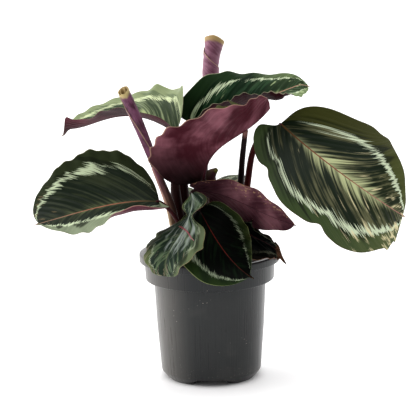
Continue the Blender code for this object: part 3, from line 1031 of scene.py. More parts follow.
@dataclass(frozen=True)
class Half:
    """One half of a blade, from the midrib out to the margin.

    fold is how far it rises from flat at the base, middle and tip, and curl is how much more it
    bends on the way out to the margin, all in degrees. lobe is how far its rounded corner reaches
    back past the stem, as a share of the width.
    """

    width: float
    fold: Along
    curl: Along = (0, 0, 0)
    lobe: float = 0.1


@dataclass(frozen=True)
class Tooth:
    """A bump in the margin, or with a negative depth a notch.

    side is -1 for the left half and 1 for the right, place and length are shares of the blade's
    length, and depth is a share of its width there.
    """

    side: int
    place: float
    depth: float
    length: float


@dataclass(frozen=True)
class Lift:
    """A spot of the margin that stands up by a height in millimetres, or down if negative."""

    side: int
    place: float
    height: float
    length: float
    spread: float = 3.0


@dataclass(frozen=True)
class Ripple:
    """A wave in the margin, in and out of the blade's surface, in millimetres."""

    side: int
    height: float
    count: float
    phase: float = 0.0


@dataclass(frozen=True)
class Blade:
    """A leaf blade hung on its midrib.

    rib holds the four control points of the midrib's Bezier curve, from the stem outward. facing
    is the way that the upper side faces at the base, middle and tip. pinch narrows the blade to a
    waist: the place along it, how much it narrows, and how long the waist is. skew is how much
    further out the right half is at its widest. hook bends the tip by so many millimetres.
    """

    name: str
    rib: tuple[Point, Point, Point, Point]
    facing: tuple[Point, Point, Point]
    left: Half
    right: Half
    finish: LeafFinish
    widest: float = 0.44
    fullness: float = 0.6
    skew: float = 0.0
    pinch: tuple[float, float, float] | None = None
    teeth: tuple[Tooth, ...] = ()
    ripples: tuple[Ripple, ...] = ()
    lifts: tuple[Lift, ...] = ()
    hook: Point = (0, 0, 0)
    oval_end: float = 0.95
    drip_share: float = 0.16
    rows: int = 150
    columns: int = 36

    thickness = 0.5
    margin_thinning = 0.75
    quilt = 0.22
    vein_pitch = 8.5
    vein_slant = 0.35
    base_half_width = 1.5
    tip_half_width = 0.5
    drip_start = 0.8
    lobe_reach = 0.06
    hook_start = 0.88
    rib_depth = 1.3
    rib_spread = 1.6

    def half_width(self, share: Array, across: Array) -> Array:
        """Work out how far the margin lies from the midrib.

        The width is a sine over a share raised so that it peaks at the widest place, raised to the
        fullness. Past the drip start a straight taper to the tip takes over where it is wider.

        Args:
            share: The place along the blade.
            across: Negative on the left half, positive on the right.

        Returns:
            The half width in millimetres.
        """
        peak = np.where(across < 0, self.widest, self.widest + self.skew)
        along = np.clip(share / self.oval_end, 0.0, 1.0)
        oval = np.abs(np.sin(math.pi * along ** (np.log(0.5) / np.log(peak)))) ** self.fullness
        taper = self.drip_share * (1 - share) / (1 - self.drip_start)
        width = np.maximum(oval, np.where(share > self.drip_start, taper, 0.0))
        if self.pinch:
            place, depth, length = self.pinch
            width = width * (1 - depth * bell(share, place, length))
        for tooth in self.teeth:
            bump = tooth.depth * bell(share, tooth.place, tooth.length)
            width = width * (1 + np.where(across * tooth.side > 0, bump, 0.0))
        least = np.where(share < 0.5, self.base_half_width, self.tip_half_width)
        return np.maximum(np.where(across < 0, self.left.width, self.right.width) * width, least)

    def middle_surface(self, share: Array, across: Array) -> tuple[Array, Array, Array]:
        """Work out places half way through the blade's thickness.

        From the midrib each half runs out along an arc that starts at the fold's angle and turns
        by the curl. The lobes slide the places near the base back past the stem.

        Args:
            share: The place along the blade, from 0 at the stem to 1 at the tip.
            across: From -1 at the left margin, by 0 on the rib, to 1 at the right margin.

        Returns:
            The places, how far along the rib they lie, and how far out from it, in millimetres.
        """
        samples = np.linspace(0.0, 1.0, 200)
        lengths = arc_lengths(bezier(self.rib, samples)[0])
        length = lengths[-1]
        out = np.abs(across)
        left = across < 0
        whole = np.where(left, self.left.width, self.right.width)
        lobe = np.where(left, self.left.lobe, self.right.lobe)
        width = self.half_width(share, across)
        reach = share / self.lobe_reach
        along = length * share - lobe * whole * out**1.5 * reach * np.exp(1 - reach)

        place, ahead = bezier(self.rib, np.interp(along, lengths, samples))
        overrun = np.minimum(along, 0.0) + np.maximum(along - length, 0.0)
        place = place + ahead * overrun[..., None]
        station = np.clip(along / length, 0.0, 1.0)

        facing = tuple(unit(np.array(vector, dtype=float)) for vector in self.facing)
        upward = three_way(facing, station[..., None])
        upward = unit(upward - (upward * ahead).sum(-1, keepdims=True) * ahead)
        sideways = np.cross(ahead, upward) * np.sign(across)[..., None]

        halves = (self.left, self.right)
        fold = np.radians(np.where(left, *(three_way(half.fold, station) for half in halves)))
        curl = np.radians(np.where(left, *(three_way(half.curl, station) for half in halves)))
        curl = np.where(np.abs(curl) < 1e-4, 1e-4, curl)
        angle = fold + curl * out
        run = (np.sin(angle) - np.sin(fold)) * width / curl
        rise = (np.cos(fold) - np.cos(angle)) * width / curl + self.ripple(share, across)
        place = place + sideways * run[..., None] + upward * rise[..., None]
        hooked = smooth_step(self.hook_start, 1.0, share)[..., None] ** 1.5
        return place + hooked * np.array(self.hook, dtype=float), along, out * width

    def ripple(self, share: Array, across: Array) -> Array:
        """Add up the waves of the margin, which grow with the cube of the way out, and its lifts.

        Args:
            share: The place along the blade.
            across: The place across it, negative on the left half.

        Returns:
            How far the blade stands up there, in millimetres.
        """
        total = np.zeros_like(share)
        fade = np.sin(math.pi * np.clip(share, 0, 1)) ** 0.5 * np.abs(across) ** 3
        for ripple in self.ripples:
            wave = ripple.height * np.sin(FULL_TURN * ripple.count * share + ripple.phase)
            total += np.where(across * ripple.side > 0, wave * fade, 0.0)
        for lift in self.lifts:
            bump = lift.height * bell(share, lift.place, lift.length) * np.abs(across) ** lift.spread
            total += np.where(across * lift.side > 0, bump, 0.0)
        return total

    def surface(self) -> Surface:
        """Build the blade as a closed skin.

        The middle surface is quilted between its side veins, then doubled: the upper skin goes up
        by half the thickness and the lower one down, with the midrib standing proud below. Both
        thin out towards the margin.

        Returns:
            The surface, with the attributes that a LeafFinish reads.
        """
        even = np.linspace(0.0, 1.0, self.rows + 1)
        inner = np.linspace(0.0, 1.0, self.columns + 1)
        inner = 0.45 * inner + 0.55 * inner**2 * (3 - 2 * inner)
        share = 0.5 * even + 0.25 * (1 - np.cos(math.pi * even))
        across = np.concatenate([-inner[:0:-1], inner])
        share, across = np.meshgrid(share, across, indexing="ij")
        place, along, out = self.middle_surface(share, across)

        vein = along - out * (1 + self.vein_slant * np.abs(across))
        swell = np.sin(math.pi * np.abs(across) ** 0.8) * self.quilt
        quilted = np.cos(FULL_TURN * vein / self.vein_pitch) * swell
        place = place + self.normals(place) * quilted[..., None]
        normal = self.normals(place)
        half = self.thickness / 2 * (1 - self.margin_thinning * np.abs(across) ** 8)
        rib = np.maximum(1.1 - share, 0.05)
        keel = self.rib_depth * rib * bell(out, 0.0, self.rib_spread * rib)
        skins = (place + normal * half[..., None], place - normal * (half + keel)[..., None])
        sizes = triples(vein, out * np.sign(across), along)
        shares = tuple(triples(across, share, face.value) for face in (Face.UPPER, Face.UNDER))
        return double_skin(skins, {"leaf_mm": (sizes, sizes), "leaf_share": shares})

    def normals(self, place: Array) -> Array:
        """Find the unit directions that the upper side of a grid of places faces."""
        return unit(np.cross(np.gradient(place, axis=1), np.gradient(place, axis=0)))


@dataclass
class Foliage:
    """The eleven open leaves."""

    blades: tuple[Blade, ...]

    def build(self) -> None:
        """Make every blade a piece in the place of its CAD node."""
        for blade in self.blades:
            name = blade.name.replace("blade", "leaf")
            blade.surface().piece(name, blade.finish.material(name), "leaf", (blade.name,))


BLADES = (
    Blade(
        "blade_right",
        rib=((62, 4, 216), (87, -9, 193), (128, -60, 168), (165, -14, 138)),
        facing=((0.0, -0.7, 0.7), (0.4, -0.7, 0.6), (0.4, -0.9, 0.2)),
        left=Half(62, fold=(15, 0, 5), curl=(5, -5, 5), lobe=0.05),
        right=Half(67, fold=(15, 5, 5), curl=(5, 0, 0), lobe=0.25),
        finish=LeafFinish(
            seed=1.0, inner_light=(0.105, 0.105, 0.052), outer_dark=(0.006, 0.01, 0.003),
            left_outer=(0.04, 0.043, 0.009), right_outer=(0.038, 0.062, 0.018),
            ring=(0.34, 0.66, 0.42), right_ring=(0.56, 0.74, 0.36), ring_width=0.031, ring_growth=0.06,
            ring_from=0.05, jag_rate=0.55, ring_colour=(0.58, 0.66, 0.46),
            feather=0.28, feather_strength=0.9, feather_colour=(0.5, 0.54, 0.28),
            cream=0.8, cream_from=0.8, cream_colour=(0.74, 0.66, 0.38),
            wash=0.5, wash_colour=(0.11, 0.13, 0.045),
            rib=((0.1, 0.05, 0.015), (0.24, 0.05, 0.035), (0.45, 0.17, 0.15)), rib_width=0.65,
        ),
        widest=0.50, fullness=0.5, oval_end=0.975, rows=190, columns=46,
        teeth=(
            Tooth(1, 0.03, -0.22, 0.04), Tooth(1, 0.24, -0.09, 0.035), Tooth(1, 0.57, -0.08, 0.025),
            Tooth(1, 0.40, 0.075, 0.08), Tooth(-1, 0.60, 0.05, 0.13), Tooth(-1, 0.36, 0.085, 0.1),
            Tooth(1, 0.66, 0.04, 0.05), Tooth(-1, 0.94, -0.2, 0.04), Tooth(1, 0.84, -0.09, 0.07),
            Tooth(1, 0.95, 0.28, 0.012), Tooth(1, 0.89, 0.09, 0.014),
        ),
        ripples=(Ripple(1, 1.6, 3.5, 0.5), Ripple(-1, 0.8, 2.5)),
    ),
    Blade(
        "blade_left",
        rib=((-41, -33, 158), (-73, -40, 164), (-113, -31, 148), (-143, -60, 146)),
        facing=((0.0, -0.4, 0.9), (-0.1, -0.5, 0.85), (-0.2, -0.6, 0.75)),
        left=Half(45, fold=(0, 14, 5), curl=(40, 12, -5), lobe=0.2),
        right=Half(51, fold=(10, 20, -5), curl=(0, 20, -5), lobe=0.0),
        finish=LeafFinish(
            seed=2.0, inner_dark=(0.01, 0.016, 0.009), inner_light=(0.028, 0.036, 0.018),
            outer_dark=(0.01, 0.014, 0.006), left_outer=(0.2, 0.24, 0.15),
            right_outer=(0.022, 0.03, 0.012), ring=(0.32, 0.42, 0.42), right_ring=(0.52, 0.72, 0.68),
            ring_width=0.036, ring_growth=0.02, jag_rate=0.7, feather=0.1, feather_strength=0.4,
            cream=0.4, cream_from=1.0, cream_colour=(0.3, 0.22, 0.12),
            under_dark=(0.07, 0.014, 0.026), under_light=(0.21, 0.085, 0.105), edge=(0.2, 0.2, 0.1),
            rib=((0.05, 0.05, 0.02), (0.4, 0.13, 0.08), (0.5, 0.28, 0.2)), rib_width=0.55,
        ),
        widest=0.45, fullness=0.5, rows=170, columns=40,
        lifts=(Lift(-1, 0.27, 9.0, 0.18, 4.0),),
        ripples=(Ripple(-1, 1.2, 6), Ripple(1, 1.4, 5), Ripple(1, 0.8, 12)),
    ),
    Blade(
        "blade_back_left",
        rib=((-26, 3, 211), (-80, 57, 239), (-103, 34, 200), (-129, 42, 212)),
        facing=((-0.2, -0.2, 0.95), (0.1, -0.15, 1.0), (0.0, 0.0, 1.0)),
        left=Half(42, fold=(40, 20, 30), curl=(25, 0, 20), lobe=0.2),
        right=Half(41, fold=(50, 15, 25), curl=(40, 0, 10)),
        finish=LeafFinish(
            seed=3.0, inner_dark=(0.028, 0.042, 0.02), inner_light=(0.13, 0.16, 0.09),
            outer_dark=(0.09, 0.12, 0.06), left_outer=(0.2, 0.24, 0.12), right_outer=(0.2, 0.24, 0.12),
            ring=(0.7, 0.62, 0.5), ring_width=0.05, ring_colour=(0.52, 0.58, 0.34),
            painted_sheen=0.4, painted_sheen_colour=(0.34, 0.4, 0.2), gloss=0.03, edge=(0.4, 0.45, 0.26),
            under_dark=(0.024, 0.004, 0.007), under_light=(0.085, 0.016, 0.026),
            under_edge=(0.12, 0.02, 0.04), dried_from=0.95,
        ),
        widest=0.40, oval_end=0.985, drip_share=0.5, hook=(3, -3, -8),
        teeth=(Tooth(-1, 0.92, 0.9, 0.05),),
        lifts=(
            Lift(1, 0.04, -3.0, 0.03), Lift(1, 0.10, -3.5, 0.025), Lift(1, 0.17, 4.5, 0.03),
            Lift(1, 0.27, -3.5, 0.05), Lift(1, 0.40, 4.0, 0.03),
        ),
        ripples=(Ripple(1, 0.8, 8.5, 0.6), Ripple(-1, 1.0, 4)),
    ),
    Blade(
        "blade_top",
        rib=((-9, 22, 210), (28, 10, 230), (53, 29, 236), (89, 28, 249)),
        facing=((0.05, -0.35, 0.95), (-0.1, -0.1, 1.0), (-0.05, -0.25, 0.95)),
        left=Half(43, fold=(70, 40, 15), curl=(20, -20, -5), lobe=0.3),
        right=Half(43, fold=(30, 20, -15), curl=(15, 12, -5), lobe=0.15),
        finish=LeafFinish(
            seed=4.0, inner_dark=(0.004, 0.014, 0.005), inner_light=(0.016, 0.042, 0.018),
            outer_dark=(0.003, 0.01, 0.004), left_outer=(0.011, 0.027, 0.009),
            right_outer=(0.17, 0.24, 0.11), ring=(0.45, 0.68, 0.5), ring_width=0.018,
            ring_growth=-0.01, ring_jag=0.34, jag_rate=0.8, feather=0.15,
            wash=0.7, wash_colour=(0.13, 0.18, 0.075), edge=(0.4, 0.44, 0.26),
            cream=0.8, cream_from=0.95, cream_colour=(0.32, 0.4, 0.2), dried_from=0.975, gloss=0.015,
            under_dark=(0.016, 0.002, 0.004), under_light=(0.034, 0.005, 0.009),
            under_edge=(0.4, 0.34, 0.24),
        ),
        widest=0.43, fullness=0.55, oval_end=0.985, hook=(-1, -2, -4), columns=40,
        lifts=(Lift(1, 0.65, -9.0, 0.07, 1.2), Lift(1, 0.66, 11.0, 0.07, 5.0)),
        ripples=(Ripple(-1, 1.0, 5), Ripple(1, 1.6, 5.5), Ripple(1, 0.8, 17)),
    ),
    Blade(
        "blade_centre",
        rib=((-4, -20, 172), (-2, -38, 212), (28, -66, 212), (52, -31, 235)),
        facing=((-0.5, 0.65, 0.55), (-0.45, 0.3, 0.8), (-0.6, 0.4, 0.7)),
        left=Half(36, fold=(55, 60, 60), curl=(0, 10, 0), lobe=0.3),
        right=Half(57, fold=(35, 30, 30), curl=(-5, -10, -20), lobe=0.15),
        finish=LeafFinish(
            seed=5.0, inner_light=(0.1, 0.13, 0.06), right_outer=(0.1, 0.14, 0.07),
            under_dark=(0.042, 0.006, 0.011), under_light=(0.22, 0.078, 0.102),
            under_edge=(0.5, 0.3, 0.22), under_shaded=1.0, left_shaded=0.6,
        ),
        widest=0.43, fullness=0.65, oval_end=0.995, drip_share=0.0, rows=170, columns=40,
        teeth=(
            Tooth(-1, 0.86, 0.9, 0.05), Tooth(1, 0.74, -0.13, 0.1), Tooth(1, 0.03, -0.15, 0.04),
            Tooth(1, 0.18, 0.06, 0.025),
        ),
        ripples=(Ripple(1, 1.3, 12), Ripple(1, 1.2, 5, 1.0), Ripple(-1, 1.0, 6)),
    ),
    Blade(
        "blade_front",
        rib=((-8, -39, 153), (-3, -56, 147), (12, -70, 114), (36, -65, 99)),
        facing=((0.1, -0.65, 0.75), (0.35, -0.85, 0.4), (-0.05, -1.0, 0.2)),
        left=Half(35, fold=(10, -5, -15), curl=(0, -20, -30), lobe=0.2),
        right=Half(35, fold=(-30, -10, -15), curl=(0, 0, -30), lobe=0.2),
        finish=LeafFinish(
            seed=6.0, inner_dark=(0.001, 0.0015, 0.001), inner_light=(0.003, 0.008, 0.003),
            outer_dark=(0.004, 0.01, 0.003), left_outer=(0.03, 0.045, 0.012),
            right_outer=(0.014, 0.028, 0.006), outer_blend=0.45,
            ring=(0.75, 0.7, 0.55), ring_width=0.012, ring_growth=0.03, ring_strength=0.75,
            ring_colour=(0.3, 0.36, 0.24), feather_strength=0.0, edge=(0.3, 0.36, 0.14), gloss=0.03,
            rib=((0.001, 0.001, 0.001), (0.15, 0.02, 0.015), (0.05, 0.015, 0.01)), rib_width=0.27,
        ),
        widest=0.46,
        ripples=(Ripple(-1, 0.8, 5), Ripple(1, 0.8, 4)),
    ),
    Blade(
        "blade_low_right",
        rib=((-10, -15, 164), (18, -19, 165), (42, -31, 145), (72.5, -32, 136)),
        facing=((0.2, 0.65, 0.75), (0.25, 0.75, 0.65), (0.25, 0.75, 0.6)),
        left=Half(30, fold=(10, 5, -5), curl=(15, 5, -10)),
        right=Half(25, fold=(-5, 0, -5), curl=(-5, 0, -10), lobe=0.35),
        finish=LeafFinish(
            seed=7.0, under_dark=(0.03, 0.007, 0.012), under_light=(0.17, 0.07, 0.085),
            under_edge=(0.28, 0.15, 0.08), under_shaded=0.7, flecks=0.8,
        ),
        oval_end=0.985, drip_share=0.1,
        teeth=(Tooth(-1, 0.14, 0.55, 0.07), Tooth(-1, 0.86, -0.2, 0.08)),
        ripples=(Ripple(-1, 0.9, 3), Ripple(1, 1.1, 4)),
    ),
    Blade(
        "blade_front_left",
        rib=((-14, -43, 167), (-11, -67, 138), (-42, -83, 131), (-35, -78, 105)),
        facing=((-0.15, -0.95, 0.35), (-0.4, -0.9, 0.25), (-0.55, -0.8, 0.2)),
        left=Half(27, fold=(10, 15, 25), curl=(10, 5, -5)),
        right=Half(26.5, fold=(0, -5, 15), curl=(0, -30, -20), lobe=0.0),
        finish=LeafFinish(
            seed=8.0, inner_dark=(0.008, 0.018, 0.01), inner_light=(0.08, 0.12, 0.06),
            outer_dark=(0.008, 0.014, 0.006), left_outer=(0.1, 0.13, 0.06),
            right_outer=(0.07, 0.095, 0.03), outer_blend=0.3,
            ring=(0.8, 0.7, 0.66), ring_width=0.01, ring_strength=0.5, feather=0.0,
            painted_sheen=0.9, painted_sheen_lengthwise=True, painted_sheen_colour=(0.4, 0.46, 0.41),
            cream=0.3, cream_from=0.8, cream_colour=(0.34, 0.28, 0.18),
            rib_width=-1.0, edge=(0.3, 0.26, 0.12),
        ),
        widest=0.66, fullness=0.4, skew=0.08, pinch=(0.28, 0.8, 0.1), oval_end=0.99, drip_share=0.1,
        teeth=(
            Tooth(1, 0.62, -0.1, 0.03), Tooth(1, 0.8, -0.12, 0.03), Tooth(1, 0.93, -0.15, 0.025),
            Tooth(1, 0.12, 0.4, 0.07), Tooth(-1, 0.12, 0.4, 0.07), Tooth(-1, 0.6, 0.12, 0.04),
            Tooth(-1, 0.85, -0.12, 0.06),
        ),
        ripples=(Ripple(-1, 1.2, 5), Ripple(1, 1.2, 4)),
    ),
    Blade(
        "blade_rim_right",
        rib=((22, -25, 139), (32, -40, 125), (50, -20, 124), (62, -10, 103)),
        facing=((0.0, -0.55, 0.85), (-0.25, -0.5, 0.8), (0.85, -0.35, 0.45)),
        left=Half(19, fold=(-15, 0, 5), curl=(-10, 0, 5), lobe=0.0),
        right=Half(24, fold=(-20, -5, 0), curl=(-15, 0, 5), lobe=0.0),
        finish=LeafFinish(
            seed=9.0, inner_dark=(0.001, 0.0015, 0.0015), inner_light=(0.009, 0.01, 0.009),
            outer_dark=(0.002, 0.003, 0.002), left_outer=(0.012, 0.01, 0.008),
            right_outer=(0.012, 0.01, 0.008), ring_strength=0.1,
            feather=0.0, feather_colour=(0.2, 0.18, 0.18), edge=(0.35, 0.22, 0.13),
            rib=((0.01, 0.004, 0.004), (0.02, 0.008, 0.008), (0.03, 0.01, 0.01)),
            dried_from=0.8, husk=(0.09, 0.045, 0.026), gloss=0.0,
        ),
        widest=0.37, fullness=1.0, oval_end=0.985, drip_share=0.52, hook=(3, -2, -5),
        ripples=(Ripple(1, 0.8, 7), Ripple(-1, 0.8, 6)),
    ),
    Blade(
        "blade_back_right",
        rib=((5, 20, 157), (14, 25, 160), (24, 29, 164), (36, 33, 166)),
        facing=((0.0, -0.05, 1.0), (0.0, -0.1, 1.0), (0.0, -0.1, 1.0)),
        left=Half(14, fold=(10, 10, 10)),
        right=Half(14, fold=(10, 10, 10)),
        finish=LeafFinish(
            seed=10.0, inner_dark=(0.05, 0.07, 0.04), inner_light=(0.3, 0.33, 0.24),
            left_outer=(0.3, 0.33, 0.24), right_outer=(0.3, 0.33, 0.24),
        ),
        rows=80, columns=20,
    ),
    Blade(
        "blade_back",
        rib=((-8, 18, 146), (-14, 23, 150), (-20, 27, 154), (-26, 32, 159)),
        facing=((0.1, -0.6, 0.8),) * 3,
        left=Half(9, fold=(0, 0, 0)),
        right=Half(9, fold=(0, 0, 0)),
        finish=LeafFinish(
            seed=11.0, inner_dark=(0.1, 0.13, 0.08), inner_light=(0.35, 0.4, 0.3),
            left_outer=(0.3, 0.36, 0.24), right_outer=(0.3, 0.36, 0.24),
        ),
        rows=60, columns=16,
    ),
)


# Stems -----------------------------------------------------------------------------------------


@dataclass(frozen=True)
class Stem:
    """A leaf stalk: the points that it passes through, and its radii there.

    onto is where it runs on to under the leaf, along the leaf's midrib. joint is how much it
    swells in the bend under the leaf, as a share of its radius. A stem that isn't modelled takes
    the place of no CAD node.
    """

    name: str
    route: tuple[Point, ...]
    radii: tuple[float, ...]
    finish: StemFinish
    onto: Point | None = None
    joint: float = 0.18
    slot: str = "petiole"
    modelled: bool = True

    root_depth = 3.5
    sheath = 0.35
    sheath_length = 0.12
    joint_place = 0.9
    joint_length = 0.07
    onto_taper = 0.75
    unevenness = 0.03
    groove_depth = 0.12
    groove_width = 0.45
    steps = 12
    sides = 20

    def surface(self) -> Surface:
        """Build the stalk as a tube with a shallow groove, a sheathing foot and a swollen joint.

        Returns:
            The surface, with the attribute that a StemFinish reads.
        """
        (x, y, z), *rest = self.route
        route, radii = [(x, y, z - self.root_depth), *rest], [*self.radii]
        if self.onto:
            route.append(self.onto)
            radii.append(self.radii[-1] * self.onto_taper)
        curve = smooth_route(route, radii, self.steps)
        share = np.linspace(0.0, 1.0, len(curve))
        radius = curve[:, 3] * (1 + self.sheath * bell(share, 0.0, self.sheath_length))
        radius = radius * (1 + self.joint * bell(share, self.joint_place, self.joint_length))
        radius = radius * (1 + self.unevenness * wobble(share * 9, seed=len(self.name)))
        groove = self.groove_depth * bell(circle(self.sides), math.pi / 2, self.groove_width)
        return tube(curve[:, :3], radius, 1 - groove)


# stalks in the middle of the clump: dark maroon, painted near black as painted shade among them
DARK_AND_SHADED = StemFinish(foot=(0.03, 0.01, 0.008), middle=(0.014, 0.003, 0.003), top=(0.012, 0.002, 0.003))
MAROON = StemFinish(foot=(0.06, 0.02, 0.015), middle=(0.04, 0.007, 0.007), top=(0.05, 0.006, 0.009))
BROWN = StemFinish(foot=(0.2, 0.1, 0.06), middle=(0.2, 0.09, 0.06), top=(0.16, 0.05, 0.035))
RED = StemFinish(foot=(0.1, 0.02, 0.012), middle=(0.07, 0.005, 0.005), top=(0.09, 0.05, 0.015), tip=0.86)
# pink stalks, painted lighter on the left side and darker on the right: painted light and shade
PINK = StemFinish(
    foot=(0.09, 0.06, 0.03), middle=(0.11, 0.06, 0.035), top=(0.13, 0.04, 0.07),
    shade=(0.04, 0.015, 0.012), lit_flank=(0.55, 0.3, 0.26), painted_flank_strength=0.9,
)
NEAR_BLACK = StemFinish(
    foot=(0.02, 0.004, 0.006), middle=(0.01, 0.002, 0.003), top=(0.3, 0.14, 0.12),
    shade=(0.004, 0.001, 0.001), tip=0.93,
)
# painted lighter on the left side and darker on the right: painted light and shade
OLIVE_TIPPED = StemFinish(
    foot=(0.1, 0.03, 0.03), middle=(0.09, 0.03, 0.04), top=(0.2, 0.2, 0.03),
    tip=0.96, painted_flank_strength=0.5,
)
ROSY = StemFinish(
    foot=(0.1, 0.02, 0.015), middle=(0.34, 0.09, 0.11), top=(0.42, 0.2, 0.19), shade=(0.2, 0.03, 0.04)
)

STEMS = (
    Stem(
        "petiole_right",
        (
            (22, 8, 101.5), (29.3, 12, 135), (33.5, 11, 165),
            (38.4, 10, 192), (47, 10, 206), (60.5, 7, 212.5),
        ),
        (3.1, 3.1, 3.0, 2.6, 2.2, 2.0), RED, onto=(64, 3.5, 213),
    ),
    Stem(
        "petiole_left",
        ((-18, -10, 101.5), (-21, -24, 125), (-26, -33, 141), (-32, -35, 151), (-40.2, -33, 157.8)),
        (2.2, 2.0, 1.8, 1.7, 1.6), MAROON, onto=(-44, -33.6, 157.6),
    ),
    Stem(
        "petiole_back_left",
        ((-14, 9, 101.5), (-23.2, 6, 128), (-27.7, 5, 156), (-28.5, 4, 188), (-25.5, 2.6, 210.3)),
        (3.4, 4.4, 4.4, 2.2, 2.0), DARK_AND_SHADED, onto=(-27.5, 4.5, 211),
    ),
    Stem(
        "petiole_top",
        ((-6, 6, 101.5), (-17.8, 12, 134), (-21.6, 17, 163), (-17, 21, 192), (-9.6, 21.8, 209.3)),
        (3.2, 4.6, 4.4, 2.4, 2.2), DARK_AND_SHADED, onto=(-6.5, 21, 210.5),
    ),
    Stem(
        "petiole_centre",
        ((-3, -3, 101.5), (-5, 2, 140), (-6, 0, 157), (-5, -10, 167), (-4, -18.4, 170.4)),
        (3.2, 4.0, 4.2, 3.2, 2.4), DARK_AND_SHADED, onto=(-3.9, -21.5, 175),
    ),
    Stem(
        "petiole_front",
        ((0, -12, 101.5), (-3, -20, 130), (-6, -28, 150), (-8.2, -37.8, 153.5)),
        (2.2, 2.1, 2.0, 1.8), DARK_AND_SHADED, onto=(-7.6, -41, 151.5),
    ),
    Stem(
        "petiole_low_right",
        ((6, -7, 101.5), (-3, -9, 130), (-12, -12, 152), (-14, -14, 161), (-11, -14.9, 164)),
        (2.0, 1.9, 1.8, 1.7, 1.6), DARK_AND_SHADED, onto=(-7.5, -15.4, 164),
    ),
    Stem(
        "petiole_front_left",
        ((-9, -10, 101.5), (-12, -20, 135), (-14, -31, 158), (-14.1, -39.6, 165.4)),
        (2.0, 1.9, 1.8, 1.6), MAROON, onto=(-13.9, -43.2, 163),
    ),
    Stem(
        "petiole_rim_right",
        ((13, -9, 101.5), (15, -12, 125), (20, -19, 140), (21.6, -23.8, 139.7)),
        (2.0, 1.9, 1.8, 1.6), MAROON, onto=(23, -27, 137),
    ),
    Stem(
        "petiole_back_right",
        ((9, 10, 101.5), (5, 14, 130), (2, 16, 151), (3.9, 19.4, 156.4)),
        (1.8, 1.7, 1.6, 1.5), DARK_AND_SHADED, onto=(7, 21, 157.5),
    ),
    Stem(
        "petiole_back",
        ((-6, 14, 101.5), (-6, 16, 130), (-7, 17, 143), (-7.6, 17.6, 145.5)),
        (1.6, 1.5, 1.4, 1.4), MAROON, onto=(-9.5, 19.3, 147),
    ),
    Stem(
        "stalk_brown",
        ((-21, 0, 101.5), (-26, -6, 122), (-31, -11, 140), (-33, -13, 152)),
        (2.4, 2.3, 2.0, 1.6), BROWN, joint=0.0,
    ),
    Stem(
        "stem_dark",
        ((17, 0, 101.5), (23, 4, 130), (27, 3, 161), (29, -1, 187), (32, -6, 213)),
        (2.7, 3.0, 2.9, 2.5, 2.3), NEAR_BLACK, joint=0.0, slot="dark_stem",
    ),
    Stem(
        "petiole_rolled_left",
        ((-25, -6, 101.5), (-27, -17, 122), (-31, -22, 148), (-36.8, -22, 166), (-44, -20, 184)),
        (4.6, 4.6, 4.2, 3.7, 3.0), PINK, onto=(-46, -19.3, 190), joint=0.0,
    ),
    Stem(
        "petiole_rolled_tall",
        ((2, 13, 101.5), (-3, 30, 148), (-3, 39, 181), (1, 49, 214)),
        (3.2, 3.2, 3.4, 3.8), PINK, onto=(2, 52, 222), joint=0.0,
    ),
    Stem(
        "bud",
        ((4, 2, 101.5), (3, 4, 140), (1.5, 0, 156), (1, -6, 166), (1.8, -9, 175), (7.5, -10, 181)),
        (2.0, 2.0, 2.4, 5.0, 5.2, 1.6), OLIVE_TIPPED, joint=0.0, slot="bud",
    ),
    Stem(
        "leaf_front_left_rib",
        (
            (-25, -60.5, 146.5), (-22.4, -65.4, 143.2), (-18, -70.8, 140.9),
            (-15, -77.6, 137.6), (-12.6, -82, 135.7),
        ),
        (0.5, 0.62, 0.6, 0.5, 0.3), ROSY, joint=0.0, modelled=False,
    ),
)


@dataclass(frozen=True)
class Scroll:
    """A young leaf still rolled up round itself.

    Its free edge starts at the turn seam_start and climbs round the roll by seam_rate turns. cut
    tilts the open top by so many millimetres, and cut_turn is where the top is highest; arch
    lowers the top on two sides. Turns count from the right by the front to the left.
    """

    name: str
    route: tuple[Point, ...]
    radii: tuple[float, ...]
    finish: ScrollFinish
    seam_start: float
    seam_rate: float
    cut: float
    cut_turn: float
    arch: float = 0.0

    turns = 2.6
    crumple = 0.025
    steps = 30
    columns = 150
    sheet = 0.4
    least_radius = 0.3
    turns_to_centre = 12
    closing = 0.55
    lip_from = 0.7
    lip_ragged = 0.5

    def surface(self) -> Surface:
        """Build the roll as one thin closed sheet that winds inwards.

        Round the roll the sheet's radius shrinks by a twelfth with each turn, and faster with the
        cube of the way wound, so that the middle closes. The free edge climbs round the roll.

        Returns:
            The surface, with an attribute "scroll": share of the height, way wound, outer face.
        """
        curve = smooth_route(self.route, self.radii, self.steps)
        path, radius = curve[:, :3], curve[:, 3:]
        ahead, side, up = carried_frame(path)
        share = np.linspace(0.0, 1.0, len(path))[:, None]
        wound = np.linspace(0.0, 1.0, self.columns)[None, :] ** 1.1
        angle = FULL_TURN * (self.seam_start + self.seam_rate * share + self.turns * wound)
        shrink = 1 - self.turns * wound / self.turns_to_centre - self.closing * wound**3
        uneven = wobble(angle + share * 7, seed=3) + wobble(share * 14 + angle * 0.5, seed=8)
        reach = radius * shrink * (1 + self.crumple * uneven)
        top = smooth_step(self.lip_from, 1.0, share)
        drop = self.cut * top * (np.cos(angle - FULL_TURN * self.cut_turn) - 1)
        drop = drop - self.arch * top**2 * (1 + np.cos(2 * angle))
        drop = drop + top**4 * self.lip_ragged * wobble(angle * 3, seed=5)
        middle = path[:, None] + ahead[:, None] * drop[..., None]
        outwards = spokes(side, up, angle)
        outer, inner = (
            middle + outwards * np.maximum(reach - inset, self.least_radius)[..., None]
            for inset in (0.0, self.sheet)
        )
        facts = tuple(triples(share, wound, face.value) for face in (Face.UPPER, Face.UNDER))
        return double_skin((outer, inner), {"scroll": facts})


